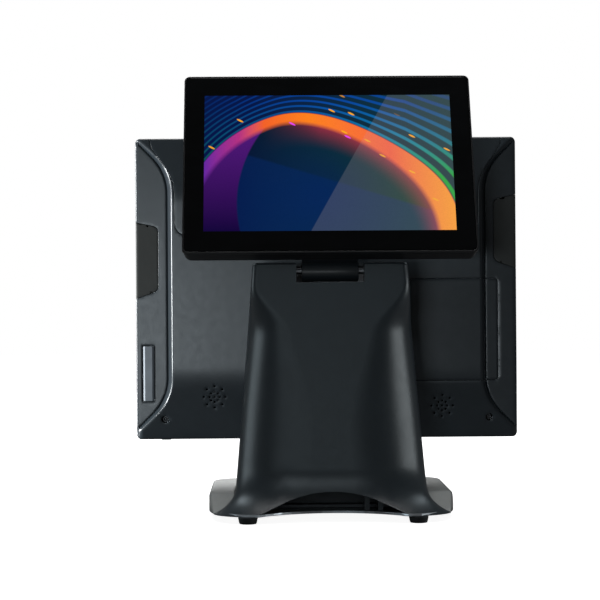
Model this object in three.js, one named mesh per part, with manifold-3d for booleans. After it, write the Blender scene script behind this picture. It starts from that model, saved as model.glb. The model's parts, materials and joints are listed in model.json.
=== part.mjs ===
// A two-sided point-of-sale touch terminal: an operator's touch display and a smaller customer display,
// both tilting on one moulded stand. Millimetres, +Z up, origin on the counter under the stand's centre.
// The operator sits on the -Y side and the customer on the +Y side. Left and right are the operator's.
import * as THREE from "three";
import { mergeVertices } from "three/addons/utils/BufferGeometryUtils.js";
import Module from "manifold-3d";

const wasm = await Module();
wasm.setup();

// ---- driving dimensions ------------------------------------------------------------------------
const GAP = 0.3; // clearance between neighbouring pieces
const WALL = 2.5; // moulded wall thickness
const RUN = 0.1; // radial running clearance round a shaft

const HEAD = { width: 350, height: 276, bottom: 61, corner: 4.5, front: -92, split: -80, wing: -58 };
HEAD.top = HEAD.bottom + HEAD.height;
HEAD.middle = HEAD.bottom + HEAD.height / 2;
// The rear cover's raised panel: its foot is straight at `foot`, then runs to the four corners.
const PANEL = { foot: 145.5, rise: 16, edgeRise: 2, wall: 5, arc: 46, upper: 287, lower: 117.5 };
const GLASS = { thickness: 3, rim: 3 };
const DOOR = { inner: -76, outer: -157.5, low: 113.7, high: 206.5 };
const UPPER = { half: 138.4, low: 247, corner: 14, lip: -66, flank: [[138.4, 288], [143.8, 305.5], [161, 329.5],
  [159.5, 345]] };
const SPEAKERS = [{ side: "right", x: 103, z: 100 }, { side: "left", x: -105, z: 90.5 }];
const COVER_SCREWS = [{ side: "right", x: 148.6, z: 79.5 }, { side: "left", x: -148.6, z: 79.5 }];
const CAPS = [
  { side: "right", sign: 1, inner: 154.5, low: 189, high: 261 },
  { side: "left", sign: -1, inner: 154.5, low: 215, high: 285 },
];
const SIDE_PORT = { inner: 158.7, outer: 168.9, low: 96, high: 146.5 };
const BUTTON = { x: 148.3, y: -69, length: 9, width: 5, proud: 1.2, travel: 1 };

const BASE = { half: 106, front: -106.4, corner: 24, straight: 30, rear: 107, lobe: 68, mouth: 60, sagitta: 31,
  low: 5.8, plate: 2, plateInset: 5, top: 20.7, crease: 41, creaseTop: 18.3, fall: Math.atan2(12, 29) };
const FOOT = { height: BASE.low - 0.1, radius: 8.2, tip: 7.4, xRear: 71.6, yRear: 95, xFront: 84, yFront: -88 };
const NECK = { top: 219.5, topHalf: 66.6, taper: 0.0819, rearTop: 60, rearLean: 0.1, frontTop: -24,
  flareTop: 28, flare: 17, rearFlareTop: 46, rearFlare: 25.03, split: 22 };
const ARCH = { peak: 25.4, half: 61, radius: 103 };

const MAIN_AXIS = { y: -14, z: 186, shaft: 5, ear: 30 };
const REAR_AXIS = { y: 48, z: 212.3, shaft: 2.6, knuckle: 9.2, knuckleHalf: 24.5, pocketHalf: 29.2 };

const CUSTOMER = { tilt: THREE.MathUtils.degToRad(25.7), width: 253.4, height: 177.4, corner: 5, front: 28.4,
  back: 12.1, bottom: 3.7, rim: 4.5, inset: 3.5, chamfer: 1.5, glass: 2 };
CUSTOMER.middle = CUSTOMER.bottom + CUSTOMER.height / 2;

// ---- materials ---------------------------------------------------------------------------------
const finish = (color, roughness, metalness = 0) => new THREE.MeshStandardMaterial({ color, roughness, metalness });
const MATERIAL = {
  graphite: finish(0x2b3238, 0.5),
  olive: finish(0x2c2f2e, 0.6),
  silver: finish(0xa3a7a6, 0.42, 0.4),
  black: finish(0x0b0c0d, 0.35),
  glass: finish(0x050607, 0.08),
  rubber: finish(0x111213, 0.85),
  steel: finish(0x9a9da0, 0.35, 1),
  darkSteel: finish(0x2a2b2d, 0.45, 1),
  aluminium: finish(0xb8bbbe, 0.4, 1),
  board: finish(0x1d4a30, 0.6),
  panel: finish(0x33363a, 0.5, 0.3),
};

// ---- solids ------------------------------------------------------------------------------------
function manifoldOf(positions, triangles) {
  return new wasm.Manifold(new wasm.Mesh({ numProp: 3, vertProperties: positions, triVerts: triangles }));
}

function solidOf(geometry) {
  const bare = new THREE.BufferGeometry().setAttribute("position", geometry.getAttribute("position").clone());
  if (geometry.index) bare.setIndex(geometry.index.clone());
  const merged = mergeVertices(bare, 1e-4);
  const triangles = new Uint32Array(merged.index.array);
  const made = manifoldOf(merged.attributes.position.array, triangles);
  return made.volume() < 0 ? manifoldOf(merged.attributes.position.array, triangles.reverse()) : made;
}

function geometryOf(solid) {
  const mesh = solid.getMesh();
  const positions = new Float32Array(mesh.numVert * 3);
  for (let i = 0; i < mesh.numVert; i++) {
    positions.set(mesh.vertProperties.subarray(i * mesh.numProp, i * mesh.numProp + 3), i * 3);
  }
  const geometry = new THREE.BufferGeometry().setAttribute("position", new THREE.BufferAttribute(positions, 3));
  geometry.setIndex(new THREE.BufferAttribute(mesh.triVerts, 1));
  geometry.computeVertexNormals();
  return geometry;
}

const cut = (body, ...tools) => geometryOf(tools.reduce((left, tool) => left.subtract(solidOf(tool)), solidOf(body)));
const join = (body, ...others) => geometryOf(others.reduce((all, next) => all.add(solidOf(next)), solidOf(body)));
const common = (a, b) => geometryOf(solidOf(a).intersect(solidOf(b)));

// ---- shapes ------------------------------------------------------------------------------------
const box = (x0, x1, y0, y1, z0, z1) =>
  new THREE.BoxGeometry(x1 - x0, y1 - y0, z1 - z0).translate((x0 + x1) / 2, (y0 + y1) / 2, (z0 + z1) / 2);

const rodX = (radius, x0, x1, y, z, sides = 24) =>
  new THREE.CylinderGeometry(radius, radius, x1 - x0, sides).rotateZ(Math.PI / 2).translate((x0 + x1) / 2, y, z);

const rodY = (radius, x, y0, y1, z, sides = 20) =>
  new THREE.CylinderGeometry(radius, radius, y1 - y0, sides).translate(x, (y0 + y1) / 2, z);

const rodZ = (radius, x, y, z0, z1, sides = 20) =>
  new THREE.CylinderGeometry(radius, radius, z1 - z0, sides).rotateX(Math.PI / 2).translate(x, y, (z0 + z1) / 2);

function roundedRectangle(width, height, radius, x = 0, y = 0) {
  const [w, h] = [width / 2 - radius, height / 2 - radius];
  const shape = new THREE.Shape();
  shape.absarc(x + w, y + h, radius, 0, Math.PI / 2);
  shape.absarc(x - w, y + h, radius, Math.PI / 2, Math.PI);
  shape.absarc(x - w, y - h, radius, Math.PI, 1.5 * Math.PI);
  shape.absarc(x + w, y - h, radius, 1.5 * Math.PI, 2 * Math.PI);
  return shape;
}

// A plan outline (x, y) raised from z0 to z1.
const raised = (shape, z0, z1, curveSegments = 5) =>
  new THREE.ExtrudeGeometry(shape, { depth: z1 - z0, bevelEnabled: false, curveSegments }).translate(0, 0, z0);

// A front outline (x, z) running from y0 to y1.
const upright = (shape, y0, y1, curveSegments = 5) =>
  new THREE.ExtrudeGeometry(shape, { depth: y1 - y0, bevelEnabled: false, curveSegments })
    .rotateX(Math.PI / 2)
    .translate(0, y1, 0);

// Equal-length rings, bottom to top, skinned and capped into one closed body.
function loft(rings) {
  const count = rings[0].length;
  const points = rings.flat();
  const triangles = [];
  for (let r = 0; r + 1 < rings.length; r++) {
    for (let i = 0; i < count; i++) {
      const [a, b] = [r * count + i, r * count + ((i + 1) % count)];
      triangles.push(a, b, b + count, a, b + count, a + count);
    }
  }
  const flat = (ring) => ring.map((p) => new THREE.Vector2(p.x, p.y));
  const last = (rings.length - 1) * count;
  for (const [a, b, c] of THREE.ShapeUtils.triangulateShape(flat(rings[0]), [])) triangles.push(c, b, a);
  for (const [a, b, c] of THREE.ShapeUtils.triangulateShape(flat(rings.at(-1)), [])) {
    triangles.push(last + a, last + b, last + c);
  }
  return new THREE.BufferGeometry().setFromPoints(points).setIndex(triangles);
}

const smooth = (t) => THREE.MathUtils.smoothstep(t, 0, 1);

// ---- the operator display's rear surface -------------------------------------------------------
// Half-width of the raised panel's foot at a height: straight, then an arc, then 45 degrees to the corner.
function footHalf(z) {
  const past = Math.max(z - PANEL.upper, PANEL.lower - z, 0);
  const bend = PANEL.arc * Math.SQRT1_2;
  const out = past < bend ? PANEL.arc - Math.sqrt(PANEL.arc ** 2 - past ** 2) : PANEL.arc - bend + past - bend;
  return Math.min(PANEL.foot + out, HEAD.width / 2 - 1);
}

// Height of the raised panel over the side wings: a plateau that slopes off to the top and bottom edges.
function rise(z) {
  const toEdge = Math.min((HEAD.top - z) / (HEAD.top - PANEL.upper), (z - HEAD.bottom) / (PANEL.lower - HEAD.bottom));
  const soft = 0.2;
  const ramp = toEdge < 1 - soft ? toEdge : 1 - Math.max(1 + soft - toEdge, 0) ** 2 / (4 * soft);
  return PANEL.edgeRise + (PANEL.rise - PANEL.edgeRise) * ramp;
}

function rearSurface(x, z) {
  const inside = (footHalf(z) - Math.abs(x)) / PANEL.wall;
  return HEAD.wing + rise(z) * smooth(inside);
}

// The space between a flat front and the rear surface moved by `shift`, inset all round by `inset`.
function headBlock(front, shift, inset) {
  const levels = 22;
  const half = HEAD.width / 2 - inset;
  const [low, high] = [HEAD.bottom + inset, HEAD.top - inset];
  const across = [0, 1, 0.66, 0.33, 0];
  const rearGrid = [];
  for (let k = 0; k <= levels; k++) {
    const z = low + ((high - low) * k) / levels;
    const foot = Math.min(footHalf(z), HEAD.width / 2 - 1) - inset;
    const half1 = across.slice(1).map((s) => foot - s * PANEL.wall);
    const xs = [0, ...half1.sort((a, b) => a - b), half];
    const row = [...xs.slice(1).reverse().map((x) => -x), ...xs];
    rearGrid.push(row.map((x) => {
      const reach = Math.min(Math.abs(x) + inset, HEAD.width / 2);
      return new THREE.Vector3(x, rearSurface(reach, z) + shift, z);
    }));
  }
  const [rows, columns] = [rearGrid.length, rearGrid[0].length];
  const points = [...rearGrid.flat(), ...rearGrid.flat().map((p) => new THREE.Vector3(p.x, front, p.z))];
  const triangles = [];
  const quad = (a, b, c, d) => triangles.push(a, b, c, a, c, d);
  const other = rows * columns;
  for (let k = 0; k + 1 < rows; k++) {
    for (let i = 0; i + 1 < columns; i++) {
      const a = k * columns + i;
      quad(a, a + columns, a + columns + 1, a + 1);
      quad(other + a, other + a + 1, other + a + columns + 1, other + a + columns);
    }
    const [start, end] = [k * columns, k * columns + columns - 1];
    quad(start, other + start, other + start + columns, start + columns);
    quad(end, end + columns, other + end + columns, other + end);
  }
  for (let i = 0; i + 1 < columns; i++) {
    const topRow = (rows - 1) * columns + i;
    quad(i, i + 1, other + i + 1, other + i);
    quad(topRow, other + topRow, other + topRow + 1, topRow + 1);
  }
  return new THREE.BufferGeometry().setFromPoints(points).setIndex(triangles);
}

const headOutline = (inset) =>
  roundedRectangle(HEAD.width - 2 * inset, HEAD.height - 2 * inset, HEAD.corner - Math.min(inset, 3), 0, HEAD.middle);

const doorOutline = (grow) => roundedRectangle(DOOR.inner - DOOR.outer + 2 * grow, DOOR.high - DOOR.low + 2 * grow, 3,
  (DOOR.inner + DOOR.outer) / 2, (DOOR.low + DOOR.high) / 2);

// The upper service cover follows the raised panel's foot, a little inside it, and runs over the top edge.
function upperOutline(grow) {
  const shape = new THREE.Shape();
  const [half, low, r] = [UPPER.half + grow, UPPER.low - grow, UPPER.corner];
  const flank = UPPER.flank.map(([x, z]) => [x + grow, z]);
  shape.moveTo(-half + r, low);
  shape.lineTo(half - r, low);
  shape.quadraticCurveTo(half, low, half, low + r);
  for (const [x, z] of flank) shape.lineTo(x, z);
  for (const [x, z] of flank.reverse()) shape.lineTo(-x, z);
  shape.lineTo(-half, low + r);
  shape.quadraticCurveTo(-half, low, -half + r, low);
  return shape;
}

// A side module cap: an outer edge on the display's side and a shorter inner edge with rounded corners.
function capOutline({ sign, inner, low, high }, grow) {
  const outer = HEAD.width / 2 + 5;
  const shape = new THREE.Shape();
  const [lo, hi, edge] = [low - grow, high + grow, inner - grow];
  const slope = 5.5;
  shape.moveTo(sign * outer, lo);
  shape.lineTo(sign * outer, hi);
  shape.lineTo(sign * (edge + 5), hi - slope + 1);
  shape.quadraticCurveTo(sign * edge, hi - slope, sign * edge, hi - slope - 5);
  shape.lineTo(sign * edge, lo + slope + 5);
  shape.quadraticCurveTo(sign * edge, lo + slope, sign * (edge + 5), lo + slope - 1);
  return shape;
}

// ---- operator display --------------------------------------------------------------------------
const headShell = () => cut(common(headBlock(HEAD.split, 0, 0), upright(headOutline(0), HEAD.split - 1, 0)),
  headBlock(HEAD.split - 10, -WALL, WALL));

// The piece of the shell that lies inside an outline and behind `lip`.
const skin = (outline, lip) => common(headShell(), upright(outline, lip, 0));

function speakerHoles({ x, z }) {
  const holes = [rodY(0.9, x, -70, -30, z, 6)];
  for (const radius of [4.6, 9.8]) {
    for (let i = 0; i < 8; i++) {
      const turn = (i * Math.PI) / 4;
      holes.push(rodY(0.9, x + radius * Math.cos(turn), -70, -30, z + radius * Math.sin(turn), 6));
    }
  }
  return holes;
}

function rearCover() {
  const hingeWindow = box(-24, 24, -60, -30, 176, 214);
  const portMouth = box(-60, 60, -76, -62, HEAD.bottom - 5, HEAD.bottom + 5);
  const sidePort = box(SIDE_PORT.inner - GAP, SIDE_PORT.outer + GAP, -75, -50, SIDE_PORT.low - GAP, SIDE_PORT.high + GAP);
  const button = upright(roundedRectangle(BUTTON.length + 1, 20, 1, BUTTON.x, HEAD.bottom), BUTTON.y - BUTTON.width / 2 - 0.5,
    BUTTON.y + BUTTON.width / 2 + 0.5);
  return cut(headShell(), upright(doorOutline(GAP), HEAD.split, 0), upright(upperOutline(GAP), UPPER.lip - GAP, 0),
    ...CAPS.map((cap) => upright(capOutline(cap, GAP), -76, 0)), hingeWindow, portMouth, sidePort, button,
    ...SPEAKERS.flatMap(speakerHoles), ...COVER_SCREWS.map(({ x, z }) => rodY(3.3, x, -70, -30, z, 16)));
}

const capSolid = (cap) => common(
  common(headBlock(-76 + GAP, -0.2, 0), upright(headOutline(0), HEAD.split, 0)),
  cut(upright(capOutline(cap, 0), -76 + GAP, 0), box(-HEAD.width / 2 + 7, HEAD.width / 2 - 7, -80, -58 - WALL, 0, 400)));

// The bright bar on the right wing: bevelled along both long edges and a little proud.
function sidePlate() {
  const { inner, outer, low, high } = SIDE_PORT;
  const [back, shoulder, face, bevel] = [-61, HEAD.wing - 0.3, HEAD.wing + 0.7, 1.8];
  const outline = [[inner, back], [outer, back], [outer, shoulder], [outer - bevel, face], [inner + bevel, face],
    [inner, shoulder]];
  return raised(new THREE.Shape(outline.map(([x, y]) => new THREE.Vector2(x, y))), low, high);
}

function bezel() {
  const seat = upright(roundedRectangle(HEAD.width - 2 * GLASS.rim, HEAD.height - 2 * GLASS.rim, 3, 0, HEAD.middle), HEAD.front - 5,
    HEAD.front + GLASS.thickness + GAP);
  const opening = upright(roundedRectangle(330, 257, 2, 0, HEAD.middle), HEAD.front - 5, 0);
  return cut(upright(headOutline(0), HEAD.front + 0.6, HEAD.split - GAP), seat, opening);
}

function mainboard() {
  const y = -69;
  const chips = [box(-35, 5, y, y + 3, 190, 230), box(20, 60, y, y + 4, 215, 222), box(20, 60, y, y + 4, 205, 212)];
  const sockets = [-50, -28, -6, 16, 38].map((x) => box(x, x + 16, y, y + 5, 70, 90));
  return join(box(-62, 78, y - 1.6, y, 68, 240), ...chips, ...sockets);
}

function heatSink() {
  const fins = Array.from({ length: 12 }, (_, i) => box(-38 + i * 4, -36 + i * 4, -63, -50, 185, 235));
  return join(box(-40, 10, -65.6, -62, 185, 235), ...fins);
}

function ssd() {
  return join(box(-152, -82, -66, -60.5, 118, 200), box(-148, -86, -67.5, -65.9, 122, 196));
}

function speaker({ x, z }) {
  return join(rodY(14, x, -72, -66, z, 24), rodY(9, x, -66.1, -64, z, 24), box(x - 20, x + 20, -72, -69.5, z - 15, z + 15));
}

// Steel bracket on the raised panel: a mounting plate with two ears that carry the tilt shaft.
function mountBracket() {
  const face = HEAD.wing + PANEL.rise + GAP;
  const plate = upright(roundedRectangle(92, 66, 6, 0, MAIN_AXIS.z - 2), face, face + 3);
  const ears = [-1, 1].map((side) => {
    const x = side * MAIN_AXIS.ear;
    const reach = box(x - 2, x + 2, face + 1, MAIN_AXIS.y, MAIN_AXIS.z - 12, MAIN_AXIS.z + 12);
    return join(reach, rodX(12, x - 2, x + 2, MAIN_AXIS.y, MAIN_AXIS.z));
  });
  return cut(join(plate, ...ears), rodX(MAIN_AXIS.shaft + RUN, -40, 40, MAIN_AXIS.y, MAIN_AXIS.z),
    box(-16, 16, face - 1, face + 5, MAIN_AXIS.z - 14, MAIN_AXIS.z + 14));
}

function screwY(x, z, seat, headRadius, headHeight, shank, length, sides = 16) {
  const head = rodY(headRadius, x, seat, seat + headHeight, z, sides);
  const recess = rodY(headRadius * 0.5, x, seat + headHeight * 0.5, seat + headHeight + 1, z, 6);
  return cut(join(head, rodY(shank, x, seat - length, seat + 0.1, z, sides)), recess);
}

// ---- stand -------------------------------------------------------------------------------------
function baseOutline(inset) {
  const half = BASE.half - inset;
  const front = BASE.front + inset;
  const r = BASE.corner - inset / 2;
  const rear = BASE.rear - inset;
  const [lobe, mouth] = [BASE.lobe - inset / 2, BASE.mouth + inset / 2];
  const radius = (BASE.mouth ** 2 + BASE.sagitta ** 2) / (2 * BASE.sagitta) + inset;
  const centre = BASE.rear - BASE.sagitta + radius - inset;
  const shape = new THREE.Shape();
  shape.moveTo(-half + r, front);
  shape.lineTo(half - r, front);
  shape.absarc(half - r, front + r, r, -Math.PI / 2, 0);
  shape.lineTo(half, BASE.straight);
  shape.bezierCurveTo(half, 68, half - 12, rear - 3, lobe, rear);
  shape.lineTo(mouth, rear);
  const start = Math.atan2(rear - centre, mouth);
  shape.absarc(0, centre, Math.hypot(mouth, rear - centre), start, -Math.PI - start, true);
  shape.lineTo(-lobe, rear);
  shape.bezierCurveTo(-half + 12, rear - 3, -half, 68, -half, BASE.straight);
  shape.lineTo(-half, front + r);
  shape.absarc(-half + r, front + r, r, Math.PI, 1.5 * Math.PI);
  return shape;
}

// The part of the base that the neck stands in: the silver cover stops where the neck's flare meets its rear slope.
function coreOutline(grow) {
  const shape = new THREE.Shape();
  const [side, front] = [84.2 + grow, -30.6 - grow];
  const meeting = [[0, 41], [2.9, 50], [8, 60], [11.5, 65], [17, 71.2], [40, 120]].map(([out, y]) => [side + out, y]);
  shape.moveTo(-side + 10, front);
  shape.lineTo(side - 10, front);
  shape.absarc(side - 10, front + 10, 10, -Math.PI / 2, 0);
  for (const [x, y] of meeting) shape.lineTo(x, y);
  for (const [x, y] of meeting.reverse()) shape.lineTo(-x, y);
  shape.lineTo(-side, front + 10);
  shape.absarc(-side + 10, front + 10, 10, Math.PI, 1.5 * Math.PI);
  return shape;
}

// The base's low body, `inset` inside its faces: a flat top that slopes off behind the crease.
function baseBlock(inset, bottom, top) {
  const slope = box(-140, 140, 0, 100, 0, 40).rotateX(-BASE.fall).translate(0, BASE.crease, BASE.creaseTop - inset);
  return cut(raised(baseOutline(inset), bottom, top - inset, 8), slope);
}

// Room for the bottom plate, which sits inside the skirts.
const plateBed = () => raised(baseOutline(BASE.plateInset - GAP), 0, BASE.low + BASE.plate + GAP, 8);

function baseCover() {
  const hollow = cut(baseBlock(WALL, BASE.low - 1, BASE.top), raised(coreOutline(WALL), 0, 40));
  return cut(baseBlock(0, BASE.low, BASE.top), hollow, raised(coreOutline(0), 0, 40), plateBed());
}

// One level of the neck: a rectangle with its own front and rear corner radii.
function neckRing(z, inset) {
  const flare = Math.max((NECK.flareTop - z) / (NECK.flareTop - BASE.low), 0) ** 3;
  const rearFlare = Math.max((NECK.rearFlareTop - z) / (NECK.rearFlareTop - BASE.low), 0) ** 2;
  const down = NECK.top - z;
  const half = NECK.topHalf + down * NECK.taper + NECK.flare * flare - inset;
  const rear = NECK.rearTop + down * NECK.rearLean + NECK.rearFlare * rearFlare - inset;
  const front = NECK.frontTop - down * 0.03 + inset;
  const rearRadius = Math.max(5 + 31 * smooth((202 - z) / 44) - inset, 2.5);
  const frontRadius = Math.max(10 - inset, 2.5);
  const points = [];
  const corner = (x, y, radius, from, steps) => {
    for (let i = 0; i <= steps; i++) {
      const turn = from + (i / steps) * (Math.PI / 2);
      points.push(new THREE.Vector3(x + radius * Math.cos(turn), y + radius * Math.sin(turn), z));
    }
  };
  corner(half - rearRadius, rear - rearRadius, rearRadius, 0, 7);
  corner(-half + rearRadius, rear - rearRadius, rearRadius, Math.PI / 2, 7);
  corner(-half + frontRadius, front + frontRadius, frontRadius, Math.PI, 3);
  corner(half - frontRadius, front + frontRadius, frontRadius, 1.5 * Math.PI, 3);
  return points;
}

function neckBlock(bottom, top, inset) {
  const breaks = [10, 14, 18, 23, 28, 34, 46, 80, 120, 155, 165, 175, 185, 195, 204, 212];
  const levels = [bottom, ...breaks.filter((z) => z > bottom + 1 && z < top - 4), top - 3];
  const rings = levels.map((z) => neckRing(z, inset));
  rings.push(neckRing(top - 3, inset + 3).map((p) => p.setZ(top)));
  return loft(rings);
}

const pocket = (grow) => box(-REAR_AXIS.pocketHalf - grow, REAR_AXIS.pocketHalf + grow, 35 - grow, 90, 202.4 - grow, 240);

function neckShell() {
  const core = raised(coreOutline(-GAP), 0, 26);
  const foot = common(common(neckBlock(BASE.low, 60, 0), core), raised(baseOutline(0), 0, 26, 8));
  const outer = join(cut(neckBlock(BASE.low, NECK.top, 0), box(-200, 200, -200, 200, -5, 25.9)), foot);
  const inner = cut(neckBlock(BASE.low - 2, NECK.top - WALL, WALL), pocket(WALL));
  const arch = common(rodY(ARCH.radius, 0, 40, 140, ARCH.peak - ARCH.radius, 96), box(-80, 80, 40, 140, 0, 40));
  const window = box(-50, 50, -60, 0, 158, 215);
  const bore = rodX(REAR_AXIS.shaft + RUN, -33.4, 33.4, REAR_AXIS.y, REAR_AXIS.z, 16);
  const ribs = [-41, -29.5].map((x) => box(x - 2.2, x + 2.2, 56, 80, BASE.low + BASE.plate + GAP, 40));
  const shell = cut(outer, inner, pocket(0), arch, window, bore);
  return cut(join(shell, ...ribs.map((rib) => common(rib, neckBlock(BASE.low, 60, 1)))), plateBed());
}

const neckPart = (y0, y1) => common(neckShell(), box(-150, 150, y0, y1, 0, 300));

// Folded steel frame: a foot flange, two uprights for the tilt shaft, and a rear web.
function standFrame() {
  const low = BASE.low + BASE.plate + GAP;
  const uprights = [-1, 1].map((side) => {
    const x = side * 44;
    const plate = box(x - 1.5, x + 1.5, -18, 30, low, 180);
    return join(plate, box(x - 1.5, x + 1.5, MAIN_AXIS.y - 5, 30, 170, 197));
  });
  return cut(join(box(-56, 56, -26, 46, low, low + 2.5), ...uprights, box(-45.5, 45.5, 27.5, 30, low, 197)),
    rodX(MAIN_AXIS.shaft + RUN, -60, 60, MAIN_AXIS.y, MAIN_AXIS.z), box(-24, 24, 20, 40, 60, 150));
}

function customerBracket(side) {
  const [inner, outer] = [32.4, 35.4];
  const [x0, x1] = side > 0 ? [inner, outer] : [-outer, -inner];
  const ear = join(box(x0, x1, 33, 52, 186, REAR_AXIS.z), rodX(4.4, x0, x1, REAR_AXIS.y, REAR_AXIS.z, 20));
  const foot = side > 0 ? box(x0, x1 + 9, 30 + GAP, 33.1, 172, 192) : box(x0 - 9, x1, 30 + GAP, 33.1, 172, 192);
  return cut(join(ear, foot), rodX(REAR_AXIS.shaft + RUN, x0 - 1, x1 + 1, REAR_AXIS.y, REAR_AXIS.z, 16));
}

function foot() {
  const r = FOOT.radius;
  const profile = [[0, 0], [FOOT.tip - 1, 0], [FOOT.tip, 0.8], [r, FOOT.height - 1], [r, FOOT.height], [0, FOOT.height]];
  return new THREE.LatheGeometry(profile.map(([x, y]) => new THREE.Vector2(x, y)), 24).rotateX(Math.PI / 2);
}

function ring(outer, inner, x0, x1, y, z) {
  return cut(rodX(outer, x0, x1, y, z), rodX(inner, x0 - 1, x1 + 1, y, z));
}

// ---- customer display, upright about its hinge at the origin -----------------------------------
const customerOutline = (inset, corner = CUSTOMER.corner) =>
  roundedRectangle(CUSTOMER.width - 2 * inset, CUSTOMER.height - 2 * inset, corner, 0, CUSTOMER.middle);

function customerFrame() {
  const body = upright(customerOutline(0), CUSTOMER.front - CUSTOMER.rim, CUSTOMER.front - 0.3);
  const seat = upright(customerOutline(1.5, 4), CUSTOMER.front - CUSTOMER.glass - GAP, CUSTOMER.front + 2);
  return cut(body, seat, upright(roundedRectangle(232, 156, 2, 0, CUSTOMER.middle), 0, 60));
}

// The casing narrows towards its back at the top and sides; its underside runs straight back to a small chamfer.
function customerShell() {
  const { width, height, corner, middle } = CUSTOMER;
  const ringAt = (y, inset, under) => {
    const [low, high] = [middle - height / 2 + under, middle + height / 2 - inset];
    return roundedRectangle(width - 2 * inset, high - low, corner, 0, (low + high) / 2)
      .extractPoints(5).shape.slice(0, -1).map((p) => new THREE.Vector3(p.x, p.y, -y));
  };
  const top = CUSTOMER.front - CUSTOMER.rim - GAP;
  const { back, inset: narrowing, chamfer } = CUSTOMER;
  const taper = (shift, inset) => loft([
    ringAt(top + shift, 0.4 + inset, 0.4 + inset), ringAt(back + 3 + inset, 1.8 + inset, 0.4 + inset),
    ringAt(back + chamfer + inset, (1.8 + narrowing) / 2 + inset, 0.4 + inset),
    ringAt(back + inset, narrowing + inset, chamfer + inset),
  ]).rotateX(Math.PI / 2);
  return cut(taper(0, 0), taper(2, 2));
}

function hingeArm() {
  const { knuckle, knuckleHalf } = REAR_AXIS;
  const back = CUSTOMER.back - GAP;
  const leaf = upright(roundedRectangle(2 * knuckleHalf, 54, 5, 0, 27), back - 4, back);
  const barrel = rodX(knuckle, -knuckleHalf, knuckleHalf, 0, 0, 28);
  const web = box(-knuckleHalf, knuckleHalf, 2, back - 1, 0, 14);
  return cut(join(barrel, leaf, web), rodX(REAR_AXIS.shaft + RUN, -40, 40, 0, 0, 16));
}

// ---- assembly ----------------------------------------------------------------------------------
function mesh(name, geometry, material, parent) {
  const made = new THREE.Mesh(geometry, material);
  made.name = name;
  parent.add(made);
  return made;
}

function addStand(root) {
  const stand = new THREE.Group();
  root.add(stand);
  mesh("base_plate", raised(baseOutline(BASE.plateInset), BASE.low, BASE.low + BASE.plate, 8), MATERIAL.steel, stand);
  mesh("base_cover", baseCover(), MATERIAL.silver, stand);
  for (const [name, x, y] of [["front_left", -FOOT.xFront, FOOT.yFront], ["front_right", FOOT.xFront, FOOT.yFront],
    ["rear_left", -FOOT.xRear, FOOT.yRear], ["rear_right", FOOT.xRear, FOOT.yRear]]) {
    mesh("foot_" + name, foot(), MATERIAL.rubber, stand).position.set(x, y, 0);
  }
  for (const [i, [x, y]] of [[-40, -10], [40, -10], [-52, 32], [52, 32]].entries()) {
    const head = rodZ(4, x, y, BASE.low - 1.8, BASE.low - GAP, 16);
    mesh("base_screw_" + (i + 1), cut(head, rodZ(1.8, x, y, 0, BASE.low - 1.2, 6)), MATERIAL.steel, stand);
  }
  mesh("neck_rear_shell", neckPart(NECK.split + GAP / 2, 200), MATERIAL.graphite, stand);
  mesh("neck_front_shell", neckPart(-200, NECK.split - GAP / 2), MATERIAL.graphite, stand);
  mesh("stand_frame", standFrame(), MATERIAL.darkSteel, stand);
  mesh("main_hinge_shaft", rodX(MAIN_AXIS.shaft, -52, 52, MAIN_AXIS.y, MAIN_AXIS.z), MATERIAL.steel, stand);
  mesh("customer_hinge_shaft", rodX(REAR_AXIS.shaft, -38, 38, REAR_AXIS.y, REAR_AXIS.z, 16), MATERIAL.steel, stand);
  for (const [name, side] of [["left", -1], ["right", 1]]) {
    const [near, far] = [32 + GAP, 42.5 - GAP];
    const span = side > 0 ? [near, far] : [-far, -near];
    mesh("hinge_washer_" + name, ring(9, MAIN_AXIS.shaft + RUN, ...span, MAIN_AXIS.y, MAIN_AXIS.z), MATERIAL.steel, stand);
    const nut = side > 0 ? [45.8, 50.5] : [-50.5, -45.8];
    const hex = new THREE.CylinderGeometry(8, 8, 4.7, 6).rotateZ(Math.PI / 2).translate((nut[0] + nut[1]) / 2, MAIN_AXIS.y, MAIN_AXIS.z);
    const bore = rodX(MAIN_AXIS.shaft + RUN, nut[0] - 1, nut[1] + 1, MAIN_AXIS.y, MAIN_AXIS.z);
    mesh("hinge_nut_" + name, cut(hex, bore), MATERIAL.steel, stand);
    mesh("customer_bracket_" + name, customerBracket(side), MATERIAL.steel, stand);
  }
}

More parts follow.
